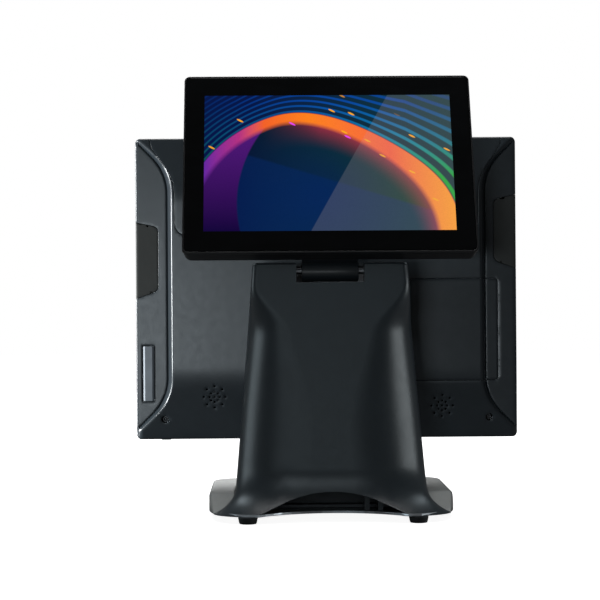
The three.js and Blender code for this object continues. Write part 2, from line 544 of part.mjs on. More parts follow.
function addOperatorDisplay(root) {
  const head = new THREE.Group();
  root.add(head);
  mesh("front_bezel", bezel(), MATERIAL.black, head);
  const glassShape = roundedRectangle(HEAD.width - 2 * GLASS.rim - 0.6, HEAD.height - 2 * GLASS.rim - 0.6, 2.7, 0, HEAD.middle);
  mesh("touch_glass", upright(glassShape, HEAD.front, HEAD.front + GLASS.thickness), MATERIAL.glass, head);
  mesh("lcd_panel", box(-163, 163, -88.6, -79.6, HEAD.middle - 126, HEAD.middle + 126), MATERIAL.panel, head);
  mesh("chassis_plate", box(-165, 165, -79, -77.5, HEAD.middle - 130, HEAD.middle + 130), MATERIAL.steel, head);
  mesh("rear_cover", rearCover(), MATERIAL.graphite, head);
  mesh("upper_cover", skin(upperOutline(0), UPPER.lip), MATERIAL.graphite, head);
  mesh("drive_door", skin(doorOutline(0), HEAD.split), MATERIAL.graphite, head);
  for (const cap of CAPS) mesh("side_cap_" + cap.side, capSolid(cap), MATERIAL.olive, head);
  mesh("side_port_plate", sidePlate(), MATERIAL.aluminium, head);
  mesh("mainboard", mainboard(), MATERIAL.board, head);
  mesh("heat_sink", heatSink(), MATERIAL.aluminium, head);
  mesh("ssd_drive", ssd(), MATERIAL.aluminium, head);
  for (const s of SPEAKERS) mesh("speaker_" + s.side, speaker(s), MATERIAL.black, head);
  for (const s of COVER_SCREWS) {
    mesh("cover_screw_" + s.side, screwY(s.x, s.z, -62, 2.9, 1.8, 1.4, 10, 12), MATERIAL.darkSteel, head);
  }
  mesh("mount_bracket", mountBracket(), MATERIAL.steel, head);
  const face = HEAD.wing + PANEL.rise + GAP + 3 + GAP;
  for (const [i, [x, z]] of [[-38, 24], [38, 24], [-38, -24], [38, -24]].entries()) {
    mesh("mount_screw_" + (i + 1), rodY(3.8, x, face, face + 2.4, MAIN_AXIS.z - 2 + z, 16), MATERIAL.steel, head);
  }
  mesh("power_button", upright(roundedRectangle(BUTTON.length, 6.2, 1, BUTTON.x, HEAD.bottom - BUTTON.proud + 3.1),
    BUTTON.y - BUTTON.width / 2, BUTTON.y + BUTTON.width / 2), MATERIAL.black, head);
}

function addCustomerDisplay(root) {
  const tilt = new THREE.Group();
  tilt.position.set(0, REAR_AXIS.y, REAR_AXIS.z);
  tilt.rotation.x = CUSTOMER.tilt;
  root.add(tilt);
  const { front, glass, back, bottom, rim } = CUSTOMER;
  mesh("customer_glass", upright(customerOutline(1.9, 3.6), front - glass, front), MATERIAL.glass, tilt);
  mesh("customer_frame", customerFrame(), MATERIAL.black, tilt);
  mesh("customer_lcd", box(-114, 114, front - 7.3, front - glass - 0.6, bottom + 12, bottom + 165), MATERIAL.panel, tilt);
  mesh("customer_board", box(-60, 60, front - 12, front - 10.4, bottom + 25, bottom + 105), MATERIAL.board, tilt);
  mesh("customer_rear_shell", customerShell(), MATERIAL.black, tilt);
  mesh("customer_hinge_arm", hingeArm(), MATERIAL.graphite, tilt);
  for (const [i, [x, z]] of [[-17, 22], [17, 22], [-17, 46], [17, 46]].entries()) {
    mesh("arm_screw_" + (i + 1), rodY(3.2, x, back - GAP - 6.2, back - GAP - 4.3, z, 16), MATERIAL.steel, tilt);
  }
}

const terminal = new THREE.Group();
addStand(terminal);
addOperatorDisplay(terminal);
addCustomerDisplay(terminal);

export default terminal;
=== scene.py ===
"""Looks for the two-sided point-of-sale terminal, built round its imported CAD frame."""

import json
import math

import bmesh
import bpy
import numpy as np
from mathutils import Matrix, Vector
from mathutils.geometry import delaunay_2d_cdt

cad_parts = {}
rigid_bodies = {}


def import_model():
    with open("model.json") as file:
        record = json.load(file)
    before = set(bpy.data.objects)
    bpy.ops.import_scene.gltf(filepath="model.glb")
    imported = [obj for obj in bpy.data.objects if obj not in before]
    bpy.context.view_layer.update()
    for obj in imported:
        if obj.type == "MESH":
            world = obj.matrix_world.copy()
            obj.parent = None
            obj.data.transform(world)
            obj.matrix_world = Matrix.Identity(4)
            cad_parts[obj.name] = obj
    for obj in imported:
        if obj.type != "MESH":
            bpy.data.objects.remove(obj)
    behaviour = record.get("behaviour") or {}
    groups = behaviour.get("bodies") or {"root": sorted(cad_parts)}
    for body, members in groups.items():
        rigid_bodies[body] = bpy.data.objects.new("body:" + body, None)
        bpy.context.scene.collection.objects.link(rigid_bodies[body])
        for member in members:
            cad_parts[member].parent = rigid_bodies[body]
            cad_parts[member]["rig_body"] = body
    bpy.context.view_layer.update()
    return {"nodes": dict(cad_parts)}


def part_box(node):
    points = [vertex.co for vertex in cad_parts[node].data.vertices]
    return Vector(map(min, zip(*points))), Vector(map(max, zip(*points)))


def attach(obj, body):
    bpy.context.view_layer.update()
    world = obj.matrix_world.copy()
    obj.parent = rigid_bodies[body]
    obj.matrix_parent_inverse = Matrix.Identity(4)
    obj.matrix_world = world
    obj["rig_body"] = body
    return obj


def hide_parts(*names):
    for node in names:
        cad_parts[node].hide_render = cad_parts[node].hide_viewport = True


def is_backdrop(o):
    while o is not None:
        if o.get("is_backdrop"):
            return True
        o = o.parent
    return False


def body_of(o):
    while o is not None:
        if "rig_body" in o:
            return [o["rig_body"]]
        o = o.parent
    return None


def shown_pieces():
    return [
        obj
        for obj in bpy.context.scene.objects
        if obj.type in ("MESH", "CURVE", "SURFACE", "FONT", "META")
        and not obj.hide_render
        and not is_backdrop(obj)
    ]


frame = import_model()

# Shapes and their constants are in millimetres. Materials, lights and Blender's own calls use metres.
MM = 0.001
SMOOTH_ANGLE = math.radians(38)
SAME_POINT = 2e-6  # vertices closer than this are merged, m
SKIN = 2.5  # moulded wall
SEAM = 0.3  # gap between two mouldings
NO_WALL = 1e3  # a wall end above every skin, so that the wall stops with the skin
SEAM_EDGE, OUTER_EDGE = 0.25, 1.6  # edge radii at a seam and on the outside
OUTLINE_STEP, POINT_MARGIN = 1.6, 0.7  # between a shell's outline points, and from them to a loose point
COARSE_TURNS, FINE_TURNS, FINE_FROM = (0, 45, 90), (0, 22, 45, 68, 90), 0.6  # steps round an edge, by radius
BATCH = 4000  # points compared at once, to bound the memory used


# ---- meshes ----
def mesh_from(name, verts, faces, merged=False):
    """A mesh from vertices in millimetres, with its faces turned outwards."""
    mesh = bpy.data.meshes.new(name)
    mesh.from_pydata([(x * MM, y * MM, z * MM) for x, y, z in verts], [], faces)
    bm = bmesh.new()
    bm.from_mesh(mesh)
    if merged:
        bmesh.ops.remove_doubles(bm, verts=bm.verts, dist=SAME_POINT)
    bmesh.ops.recalc_face_normals(bm, faces=bm.faces)
    bm.to_mesh(mesh)
    bm.free()
    return mesh


def linked(name, data):
    """A new object in the scene."""
    obj = bpy.data.objects.new(name, data)
    bpy.context.scene.collection.objects.link(obj)
    return obj


def add_mesh(name, part, body, slot, stands_for=None, material=None, flat=False):
    """A piece from (vertices, faces), riding on a body and standing for a CAD node if one is named."""
    mesh = mesh_from(name, *part, merged=True)
    if not flat:
        mesh.shade_smooth()
        mesh.set_sharp_from_angle(angle=SMOOTH_ANGLE)
    obj = linked(name, mesh)
    mesh.materials.append(material or MATERIALS[slot])
    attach(obj, body)
    if stands_for:
        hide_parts(stands_for)
    return obj


def joined(*parts):
    """Several (vertices, faces) as one."""
    verts, faces = [], []
    for part_verts, part_faces in parts:
        start = len(verts)
        verts += [tuple(v) for v in part_verts]
        faces += [tuple(i + start for i in f) for f in part_faces]
    return verts, faces


def block(x0, x1, y0, y1, z0, z1):
    verts = [(x, y, z) for z in (z0, z1) for y in (y0, y1) for x in (x0, x1)]
    faces = [(0, 2, 3, 1), (4, 5, 7, 6), (0, 1, 5, 4), (2, 6, 7, 3), (0, 4, 6, 2), (1, 3, 7, 5)]
    return verts, faces


def loft(rings, capped=True):
    """Rings of equal length, skinned all the way round, with both ends closed if capped."""
    count = len(rings[0])
    verts = [tuple(p) for ring in rings for p in ring]
    faces = []
    for r in range(len(rings) - 1):
        for i in range(count):
            a, b = r * count + i, r * count + (i + 1) % count
            faces.append((a, b, b + count, a + count))
    if capped:
        start = (len(rings) - 1) * count
        faces += [tuple(range(count))[::-1], tuple(range(start, start + count))]
    return verts, faces


def tube(rings):
    """Rings joined round and round: the last one meets the first."""
    return loft(rings + rings[:1], capped=False)


# ---- outlines ----
def arc(cx, cy, radius, start, end, steps):
    turns = np.radians(np.linspace(start, end, steps + 1))
    return [(cx + radius * math.cos(t), cy + radius * math.sin(t)) for t in turns]


def curve(points, steps):
    """A quadratic or cubic Bezier curve, without its first point."""
    out = []
    for k in range(1, steps + 1):
        t, level = k / steps, [np.array(p, float) for p in points]
        while len(level) > 1:
            level = [a + (b - a) * t for a, b in zip(level, level[1:])]
        out.append(tuple(level[0]))
    return out


def rounded(x0, x1, y0, y1, radius, steps=8):
    """A rectangle with rounded corners, counter-clockwise from its right side."""
    out, corners = [], ((x1, y1, -1, -1), (x0, y1, 1, -1), (x0, y0, 1, 1), (x1, y0, -1, 1))
    for k, (x, y, to_x, to_y) in enumerate(corners):
        out += arc(x + to_x * radius, y + to_y * radius, radius, 90 * k, 90 * (k + 1), steps)
    return out


def circle(cx, cy, radius, steps):
    return arc(cx, cy, radius, 0, 360, steps)[:-1]


def mirror(points):
    """The points on the other side of x = 0, in the opposite order."""
    return [(-x, y) for x, y in points[::-1]]


def dense(loop, step):
    """The loop with points added so that none is further than `step` from the next, and no doubles."""
    out = []
    for a, b in zip(loop, loop[1:] + loop[:1]):
        a, b = np.array(a, float), np.array(b, float)
        length = np.linalg.norm(b - a)
        if length < 1e-4:
            continue
        pieces = max(1, math.ceil(length / step))
        out += [tuple(a + (b - a) * k / pieces) for k in range(pieces)]
    return np.array(out)


def area(loop):
    x, y = loop[:, 0], loop[:, 1]
    return 0.5 * float(np.sum(x * np.roll(y, -1) - np.roll(x, -1) * y))


def laid_out(loop):
    """The loop in small steps, counter-clockwise."""
    loop = dense(loop, OUTLINE_STEP)
    return loop if area(loop) > 0 else loop[::-1]


def unit(vectors):
    return vectors / np.linalg.norm(vectors, axis=1)[:, None]


def inset_loop(loop, distance):
    """A counter-clockwise loop moved inwards. Points that a corner leaves no room for join a neighbour."""
    least_cosine, kept_share = 0.6, 0.97
    sides = np.roll(loop, -1, 0) - loop
    before, after = unit(np.roll(sides, 1, 0)), unit(sides)
    first = np.stack([-before[:, 1], before[:, 0]], 1)
    second = np.stack([-after[:, 1], after[:, 0]], 1)
    normal = unit(first + second)
    stretch = 1 / np.maximum(np.sum(normal * first, 1), least_cosine)
    distance = np.broadcast_to(np.asarray(distance, float), (len(loop),))
    moved = loop + normal * (distance * stretch)[:, None]
    away = moved[:, None] - loop[None]
    along = np.clip(np.sum(away * sides[None], 2) / np.sum(sides * sides, 1)[None], 0, 1)
    gap = np.min(np.linalg.norm(away - along[..., None] * sides[None], axis=2), axis=1)
    has_room = gap > kept_share * np.abs(distance) - 1e-9
    good = np.flatnonzero(has_room)
    for i in np.flatnonzero(~has_room):
        steps = np.abs(good - i)
        moved[i] = moved[good[np.argmin(np.minimum(steps, len(loop) - steps))]]
    return moved


def inside(points, loop):
    x, y = points[:, 0], points[:, 1]
    result = np.zeros(len(points), bool)
    for (x0, y0), (x1, y1) in zip(loop, np.roll(loop, -1, 0)):
        crosses = (y0 > y) != (y1 > y)
        if y0 != y1:
            result ^= crosses & (x < (x1 - x0) * (y - y0) / (y1 - y0) + x0)
    return result


def clear_of(points, loops, margin):
    keep = np.ones(len(points), bool)
    for loop in loops:
        for start in range(0, len(points), BATCH):
            part = points[start:start + BATCH]
            gap = np.min(np.linalg.norm(part[:, None] - loop[None], axis=2), axis=1)
            keep[start:start + BATCH] &= gap > margin
    return keep


def triangulate(outer, holes, points):
    """Points (outer, then holes, then the loose points kept) and the triangles between them."""
    keep = inside(points, outer) & clear_of(points, [outer, *holes], POINT_MARGIN)
    for hole in holes:
        keep &= ~inside(points, hole)
    coords = np.concatenate([outer, *holes, points[keep]])
    edges, start = [], 0
    for loop in (outer, *holes):
        edges += [(start + i, start + (i + 1) % len(loop)) for i in range(len(loop))]
        start += len(loop)
    made = delaunay_2d_cdt([Vector(p) for p in coords], edges, [], 0, 1e-5)
    index = [origin[0] if origin else -1 for origin in made[3]]
    triangles = [tuple(index[i] for i in face) for face in made[2]]
    triangles = [t for t in triangles if min(t) >= 0 and len(set(t)) == 3]
    middles = np.array([(coords[a] + coords[b] + coords[c]) / 3 for a, b, c in triangles])
    good = inside(middles, outer)
    for hole in holes:
        good &= ~inside(middles, hole)
    return coords, [t for t, ok in zip(triangles, good) if ok]


def at_points(amount, loop):
    """A number, or a function of (u, v), at each point of a loop."""
    if callable(amount):
        return amount(loop[:, 0], loop[:, 1])
    return np.full(len(loop), float(amount))


def plate(outline, height, points, wall_end=NO_WALL, radius=SEAM_EDGE, thickness=SKIN, holes=()):
    """A moulded shell in (u, v, h): a skin over an outline with rounded edges, walls and an inner skin.

    height is the skin's surface, and points are the loose points on it. wall_end is how low the outline's
    wall reaches, and radius is its edge radius. Sizes are numbers or functions of (u, v).
    holes: (loop, edge radius, lip width) each."""
    loops = [(laid_out(outline), radius, SKIN, 1)]
    loops += [(laid_out(loop), hole_radius, lip, -1) for loop, hole_radius, lip in holes]
    verts, faces = [], []

    def ring(places, heights):
        start = len(verts)
        verts.extend((u, v, h) for (u, v), h in zip(places, heights))
        return start

    def strip(a, b, count):
        faces.extend((a + i, a + (i + 1) % count, b + (i + 1) % count, b + i) for i in range(count))

    tops, bottoms = [], []
    for loop, edge, lip, side in loops:
        count, rings = len(loop), []
        edge = at_points(edge, loop)
        for turn in np.radians(FINE_TURNS if edge.max() > FINE_FROM else COARSE_TURNS):
            moved = inset_loop(loop, side * edge * (1 - math.cos(turn)))
            rings.append(ring(moved, at_points(height, moved) - edge * (1 - math.sin(turn))))
        for a, b in zip(rings, rings[1:]):
            strip(a, b, count)
        tops.append((moved, rings[-1]))
        full = at_points(height, loop) - at_points(thickness, loop)
        low = np.minimum(at_points(wall_end, loop), full) if side > 0 else full
        foot = ring(loop, low)
        strip(foot, rings[0], count)
        inner = inset_loop(loop, side * lip)
        under = at_points(height, inner) - at_points(thickness, inner)
        rim = ring(inner, np.minimum(low, under))
        strip(rim, foot, count)
        low_ring = ring(inner, under)
        strip(low_ring, rim, count)
        bottoms.append((inner, low_ring))
    for level, shift in ((tops, 0.0), (bottoms, 1.0)):
        coords, triangles = triangulate(level[0][0], [loop for loop, _ in level[1:]], points)
        index = []
        for loop, first in level:
            index += range(first, first + len(loop))
        loose = coords[len(index):]
        first = ring(loose, at_points(height, loose) - shift * at_points(thickness, loose))
        index += range(first, first + len(loose))
        faces.extend(tuple(index[i] for i in t) for t in triangles)
    return verts, faces


def grid_points(x0, x1, y0, y1, step):
    xs = np.arange(x0 + step / 2, x1, step)
    ys = np.arange(y0 + step / 2, y1, step)
    gx, gy = np.meshgrid(xs, ys)
    return np.stack([gx.ravel(), gy.ravel()], 1)


def as_rear(part):
    """(u, v, h) of a rear-facing shell to (x, y, z): u is x, v is z, h is y."""
    return [(u, h, v) for u, v, h in part[0]], part[1]


def carve(obj, cutters):
    """Cuts solids, given as (vertices, faces) in millimetres, out of an object's mesh."""
    for part in cutters:
        cutter = linked("cutter", mesh_from("cutter", *part))
        modifier = obj.modifiers.new("cut", "BOOLEAN")
        modifier.operation, modifier.solver, modifier.object = "DIFFERENCE", "EXACT", cutter
        bpy.context.view_layer.update()
        seen = obj.evaluated_get(bpy.context.evaluated_depsgraph_get())
        done = bpy.data.meshes.new_from_object(seen)
        obj.modifiers.remove(modifier)
        used = (obj.data, cutter.data)
        obj.data = done
        bpy.data.objects.remove(cutter)
        for mesh in used:
            bpy.data.meshes.remove(mesh)
    obj.data.set_sharp_from_angle(angle=SMOOTH_ANGLE)


# ---- materials ----
class Shader:
    """One material's node tree, with short calls for the nodes used here. Noise scales are per metre."""

    def __init__(self, name):
        self.material = bpy.data.materials.new(name)
        self.material.use_nodes = True
        self.tree = self.material.node_tree
        self.surface = next(n for n in self.tree.nodes if n.type == "BSDF_PRINCIPLED")
        self.place = self.node("ShaderNodeTexCoord").outputs["Object"]

    def node(self, kind, settings=None, **inputs):
        """A node with its inputs by name, or by place as _0, _1 and so on."""
        made = self.tree.nodes.new(kind)
        for key, value in (settings or {}).items():
            setattr(made, key, value)
        for key, value in inputs.items():
            which = int(key[1:]) if key.startswith("_") else key.replace("_", " ")
            self.feed(made.inputs[which], value)
        return made

    def feed(self, socket, value):
        if isinstance(value, bpy.types.NodeSocket):
            self.tree.links.new(value, socket)
        else:
            socket.default_value = value

    def set(self, **inputs):
        for key, value in inputs.items():
            self.feed(self.surface.inputs[key.replace("_", " ")], value)

    def math(self, operation, a, b=0.0, c=0.0):
        return self.node("ShaderNodeMath", {"operation": operation}, _0=a, _1=b, _2=c).outputs[0]

    def times(self, a, b):
        return self.math("MULTIPLY", a, b)

    def minus(self, a, b):
        return self.math("SUBTRACT", a, b)

    def scaled(self, scale):
        return self.node("ShaderNodeMapping", Vector=self.place, Scale=scale).outputs[0]

    def noise(self, scale, detail=2.0, roughness=0.5, vector=None, distortion=0.0):
        made = self.node("ShaderNodeTexNoise", Vector=vector or self.place, Scale=scale, Detail=detail,
                         Roughness=roughness, Distortion=distortion)
        return made.outputs["Fac"]

    def span(self, value, low, high, to_low=0.0, to_high=1.0):
        """The value's place between low and high, as a number from to_low to to_high."""
        made = self.node("ShaderNodeMapRange", {"clamp": True}, Value=value, From_Min=low, From_Max=high,
                         To_Min=to_low, To_Max=to_high)
        return made.outputs[0]

    def mix(self, amount, a, b):
        return self.node("ShaderNodeMix", {"data_type": "RGBA"}, _0=amount, _6=a, _7=b).outputs[2]

    def ramp(self, value, first, last, *between):
        """A colour ramp through (position, colour) stops."""
        made = self.node("ShaderNodeValToRGB", Fac=value)
        stops = made.color_ramp.elements
        for stop, (position, color) in zip((stops[0], stops[1]), (first, last)):
            stop.position, stop.color = position, color
        for position, color in between:
            stops.new(position).color = color
        return made.outputs["Color"]

    def bump(self, height, distance, strength, normal=None):
        made = self.node("ShaderNodeBump", Height=height, Distance=distance, Strength=strength)
        if normal:
            self.feed(made.inputs["Normal"], normal)
        self.set(Normal=made.outputs[0])
        return made.outputs[0]


def shade(color, factor):
    return tuple(min(c * factor, 1) for c in color[:3]) + (1.0,)


def moulded_plastic(name, color, roughness=0.46, grain=2600.0, depth=0.00003, mottle=0.14, scratches=0.5):
    """Injection-moulded plastic with a spark-eroded grain, slight mottling and hairline scratches."""
    s = Shader(name)
    cloud = s.noise(26.0, 5.0, 0.6)
    fine = s.noise(grain, 2.0, 0.65)
    base = s.mix(s.span(cloud, 0.3, 0.7), shade(color, 1 - mottle), shade(color, 1 + mottle))
    base = s.mix(s.span(fine, 0.3, 0.75, 0.0, 0.30), base, shade(color, 1.75))
    thin = s.noise(260.0, 3.0, 0.6, s.scaled((1.0, 1.0, 0.035)), 0.6)
    cross = s.noise(230.0, 3.0, 0.6, s.scaled((0.045, 1.0, 1.0)), 0.8)
    marks = s.math("MAXIMUM", s.span(thin, 0.735, 0.76), s.span(cross, 0.745, 0.77))
    marks = s.math("MULTIPLY", marks, s.span(s.noise(14.0, 2.0), 0.5, 0.7, 0.0, scratches))
    base = s.mix(s.math("MULTIPLY", marks, 0.35), base, shade(color, 3.2))
    s.set(Base_Color=base, Specular_IOR_Level=0.42)
    rough = s.span(s.noise(140.0, 5.0, 0.65), 0.3, 0.7, roughness - 0.02, roughness + 0.03)
    s.set(Roughness=s.math("SUBTRACT", rough, s.math("MULTIPLY", marks, 0.12)))
    first = s.bump(fine, depth, 0.8)
    s.bump(marks, 0.00004, 0.5, first)
    return s.material


def satin_paint(name, color):
    """Silver paint on plastic: fine metal flake under a satin clear coat."""
    s = Shader(name)
    flake = s.noise(5200.0, 1.0, 0.7)
    cloud = s.noise(34.0, 4.0, 0.55)
    base = s.mix(s.span(cloud, 0.3, 0.7), shade(color, 0.93), shade(color, 1.05))
    base = s.mix(s.span(flake, 0.35, 0.72, 0.0, 0.45), base, shade(color, 1.45))
    s.set(Base_Color=base, Metallic=0.35, Coat_Weight=0.05, Coat_Roughness=0.4)
    s.set(Roughness=s.span(s.noise(90.0, 3.0), 0.3, 0.7, 0.48, 0.56))
    s.bump(flake, 0.00002, 0.5)
    return s.material


def plated_steel(name, color, roughness=0.34, along=(1.0, 30.0, 30.0)):
    """Zinc-plated or blackened sheet steel with drawn grain and cloudy passivation."""
    s = Shader(name)
    drawn = s.noise(90.0, 4.0, 0.6, s.scaled(along))
    cloud = s.noise(48.0, 4.0, 0.6)
    base = s.mix(s.span(cloud, 0.35, 0.65), shade(color, 0.86), shade(color, 1.08))
    base = s.mix(s.span(drawn, 0.4, 0.65, 0.0, 0.35), base, shade(color, 0.7))
    bright = color[0] > 0.1
    s.set(Base_Color=base, Metallic=1.0 if bright else 0.6)
    s.set(Roughness=s.span(drawn, 0.3, 0.7, roughness - 0.08, roughness + 0.12))
    s.bump(drawn, 0.00002, 0.4)
    return s.material


def rubber(name, color):
    s = Shader(name)
    fine = s.noise(1800.0, 3.0, 0.6)
    base = s.mix(s.span(s.noise(120.0, 4.0, 0.6), 0.35, 0.7), shade(color, 0.8), shade(color, 1.7))
    s.set(Base_Color=base, Roughness=s.span(fine, 0.3, 0.7, 0.62, 0.8), Specular_IOR_Level=0.35)
    s.bump(fine, 0.00006, 0.8)
    return s.material


def circuit(name):
    """Green solder mask with short copper tracks in rows and small bright solder dots."""
    s = Shader(name)
    upright = s.node("ShaderNodeMapping", Vector=s.place, Rotation=(math.pi / 2, 0, 0)).outputs[0]
    bricks = s.node("ShaderNodeTexBrick", Vector=upright, Color1=(0.012, 0.075, 0.03, 1),
                    Color2=(0.014, 0.085, 0.034, 1), Mortar=(0.03, 0.14, 0.05, 1), Scale=110.0,
                    Mortar_Size=0.03, Brick_Width=0.9, Row_Height=0.25).outputs["Color"]
    dots = s.node("ShaderNodeTexVoronoi", Vector=s.place, Scale=340.0).outputs["Distance"]
    base = s.mix(s.span(dots, 0.16, 0.12), bricks, (0.62, 0.6, 0.52, 1))
    s.set(Base_Color=base, Roughness=s.span(s.noise(300.0), 0.3, 0.7, 0.3, 0.5))
    s.bump(dots, 0.0001, 0.5)
    return s.material


def display_module(name):
    s = Shader(name)
    base = s.mix(s.span(s.noise(70.0, 4.0), 0.3, 0.7), (0.03, 0.033, 0.037, 1), (0.045, 0.05, 0.055, 1))
    s.set(Base_Color=base, Roughness=s.span(s.noise(500.0), 0.3, 0.7, 0.35, 0.5), Metallic=0.3)
    return s.material


def dark_glass(name, tint=(0.0025, 0.003, 0.0035, 1)):
    """Cover glass over black print: deep gloss with faint smears."""
    s = Shader(name)
    smear = s.noise(22.0, 5.0, 0.62, s.scaled((1.0, 1.0, 2.6)), 0.9)
    s.set(Base_Color=s.mix(s.span(smear, 0.35, 0.7), tint, shade(tint, 1.8)), Specular_IOR_Level=0.5)
    s.set(Roughness=s.span(smear, 0.35, 0.7, 0.05, 0.12), Coat_Weight=0.2, Coat_Roughness=0.04)
    return s


MATERIALS = {
    "graphite_shell": moulded_plastic("graphite_plastic", (0.0155, 0.0205, 0.0245), 0.32),
    "module_cap": moulded_plastic("olive_plastic", (0.0175, 0.0185, 0.0165), 0.58),
    "black_plastic": moulded_plastic("black_plastic", (0.009, 0.0095, 0.011), 0.38, 3000.0,
                                     0.00002, 0.1, 0.3),
    "silver_base": satin_paint("silver_paint", (0.25, 0.26, 0.255)),
    "rubber_foot": rubber("foot_rubber", (0.008, 0.008, 0.009)),
    "zinc_steel": plated_steel("zinc_steel", (0.42, 0.43, 0.45)),
    "dark_screw": plated_steel("black_steel", (0.035, 0.036, 0.038), 0.42),
    "satin_aluminium": plated_steel("satin_aluminium", (0.46, 0.49, 0.52), 0.38, (30.0, 30.0, 1.0)),
    "port_plate": satin_paint("port_paint", (0.14, 0.155, 0.17)),
    "circuit_board": circuit("green_board"),
    "lcd": display_module("display_module"),
}


# ---- operator display, rear ----
HALF, LOW, TOP, WING, SPLIT = 175.0, 61.0, 337.0, -58.0, -80.0
# The raised panel: half its width, its rise in the middle and at the ends, its wall and its corner arcs
PANEL_FOOT, PANEL_RISE, EDGE_RISE, PANEL_WALL, PANEL_ARC = 145.5, 16.0, 2.0, 5.0, 46.0
PANEL_HIGH, PANEL_LOW = 287.0, 117.5  # where it starts to slope off and to widen
GROOVE_DEPTH, GROOVE_HALF, WALL_SOFTNESS = 0.9, 0.6, 0.35
NEAR_EDGE, NEAR_CORNER = 0.3, 5  # what counts as on the display's own edge, and as in its corner
# The side caps: their inner edge, and ends that fall by CAP_FALL over CAP_RUN from CAP_REACH
CAP_INNER, CAP_REACH, CAP_FALL, CAP_RUN = 154.5, 180, 4.5, 20.5
CAPS = {"right": (1, 189.0, 261.0), "left": (-1, 215.0, 285.0)}  # side, low and high
UPPER_HALF, UPPER_LOW, UPPER_TURN = 138.4, 247.0, 14.0
FLANK = [(160.4, 337.0), (161.2, 333.0), (159.5, 328.0), (152.9, 318.4), (143.8, 305.5), (139.3, 294.0),
         (UPPER_HALF, 283.0), (UPPER_HALF, UPPER_LOW + UPPER_TURN)]
DOOR = (-157.5, -76.0, 113.7, 206.5)
SIDE_PORT = (158.4, 169.2, 95.7, 146.8)
MOUNT_OPENING = (-24, 24, 176, 214)
SPEAKERS = ((103.0, 100.0), (-105.0, 90.5))
COVER_SCREWS = ((148.6, 79.5), (-148.6, 79.5))


def smooth(t):
    t = np.clip(t, 0, 1)
    return t * t * (3 - 2 * t)


def foot_half(z):
    """Half the width of the raised panel at its foot."""
    past = np.maximum(np.maximum(z - PANEL_HIGH, PANEL_LOW - z), 0)
    bend = PANEL_ARC * math.sqrt(0.5)
    round_part = PANEL_ARC - np.sqrt(PANEL_ARC ** 2 - np.minimum(past, bend) ** 2)
    return np.minimum(PANEL_FOOT + np.where(past < bend, round_part, PANEL_ARC - 2 * bend + past), HALF - 1)


def rear_surface(x, z):
    """The display's rear face: side wings and a raised panel that slopes off above and below."""
    to_edge = np.minimum((TOP - z) / (TOP - PANEL_HIGH), (z - LOW) / (PANEL_LOW - LOW))
    ramp = np.where(to_edge < 0.8, to_edge, 1 - np.maximum(1.2 - to_edge, 0) ** 2 / 0.8)
    out = np.abs(x) - foot_half(z)
    across = np.clip(-out / PANEL_WALL, 0, 1)
    rounding = np.sqrt(1 - (1 - across) ** 2) * (1 - WALL_SOFTNESS) + WALL_SOFTNESS * smooth(across)
    lift = (EDGE_RISE + (PANEL_RISE - EDGE_RISE) * ramp) * rounding
    in_edges = smooth((TOP - z) / 6) * smooth((z - LOW) / 6)
    groove = GROOVE_DEPTH * np.exp(-(((out - 0.4) / GROOVE_HALF) ** 2)) * in_edges
    return WING + lift - groove


def rear_points(step=3.0):
    """Loose points over the rear face, closer together in a band along the raised panel's foot."""
    band_middle, band_reach = -1.5, 5.4
    lanes = (-6.2, -5.1, -4.4, -3.7, -3.0, -2.4, -1.8, -1.2, -0.7, -0.3, 0, 0.4, 0.8, 1.3, 2.0, 3.2)
    grid = grid_points(-HALF, HALF, LOW, TOP, step)
    out = np.abs(grid[:, 0]) - foot_half(grid[:, 1])
    grid = grid[np.abs(out - band_middle) > band_reach]
    heights = np.arange(LOW + 0.7, TOP, step / 2)
    lines = [np.stack([side * (foot_half(heights) + lane), heights], 1)
             for side in (-1, 1) for lane in lanes]
    return np.concatenate([grid, *lines])


def cap_seam(sign, low, high, grow):
    """A side cap's seam from its lower outer end to its upper outer end."""
    inner, low, high = CAP_INNER - grow, low - grow, high + grow
    slope = (CAP_REACH - HALF) * CAP_FALL / CAP_RUN
    turn_start, turn_end = (inner + 5, low + 6.5), (inner, high - 10.5)
    points = [(HALF, low + slope), turn_start]
    points += curve([turn_start, (inner, low + 8.5), (inner, low + 13)], 6)
    points += [turn_end] + curve([turn_end, (inner, high - 5.5), (inner + 5, high - CAP_FALL)], 6)
    return [(sign * x, z) for x, z in points + [(HALF, high - slope)]]


def upper_seam(grow):
    """The upper cover's seam, from the right end of the top edge down, along and up to its left end."""
    half, low = UPPER_HALF + grow, UPPER_LOW - grow
    turn = curve([(half, UPPER_LOW + UPPER_TURN), (half, low), (half - UPPER_TURN, low)], 8)
    right = [(x + grow, z) for x, z in FLANK] + turn
    return right + mirror(right)


def on_boundary(u, v):
    """Points on the display's own outer edge, not on a seam."""
    corner = (np.abs(u) > HALF - NEAR_CORNER) & ((v > TOP - NEAR_CORNER) | (v < LOW + NEAR_CORNER))
    return (np.abs(u) > HALF - NEAR_EDGE) | (v > TOP - NEAR_EDGE) | (v < LOW + NEAR_EDGE) | corner


def edge_radius(u, v):
    return np.where(on_boundary(u, v), OUTER_EDGE, SEAM_EDGE)


def door_loop(grow):
    x0, x1, z0, z1 = DOOR
    return rounded(x0 - grow, x1 + grow, z0 - grow, z1 + grow, 3 + grow, 6)


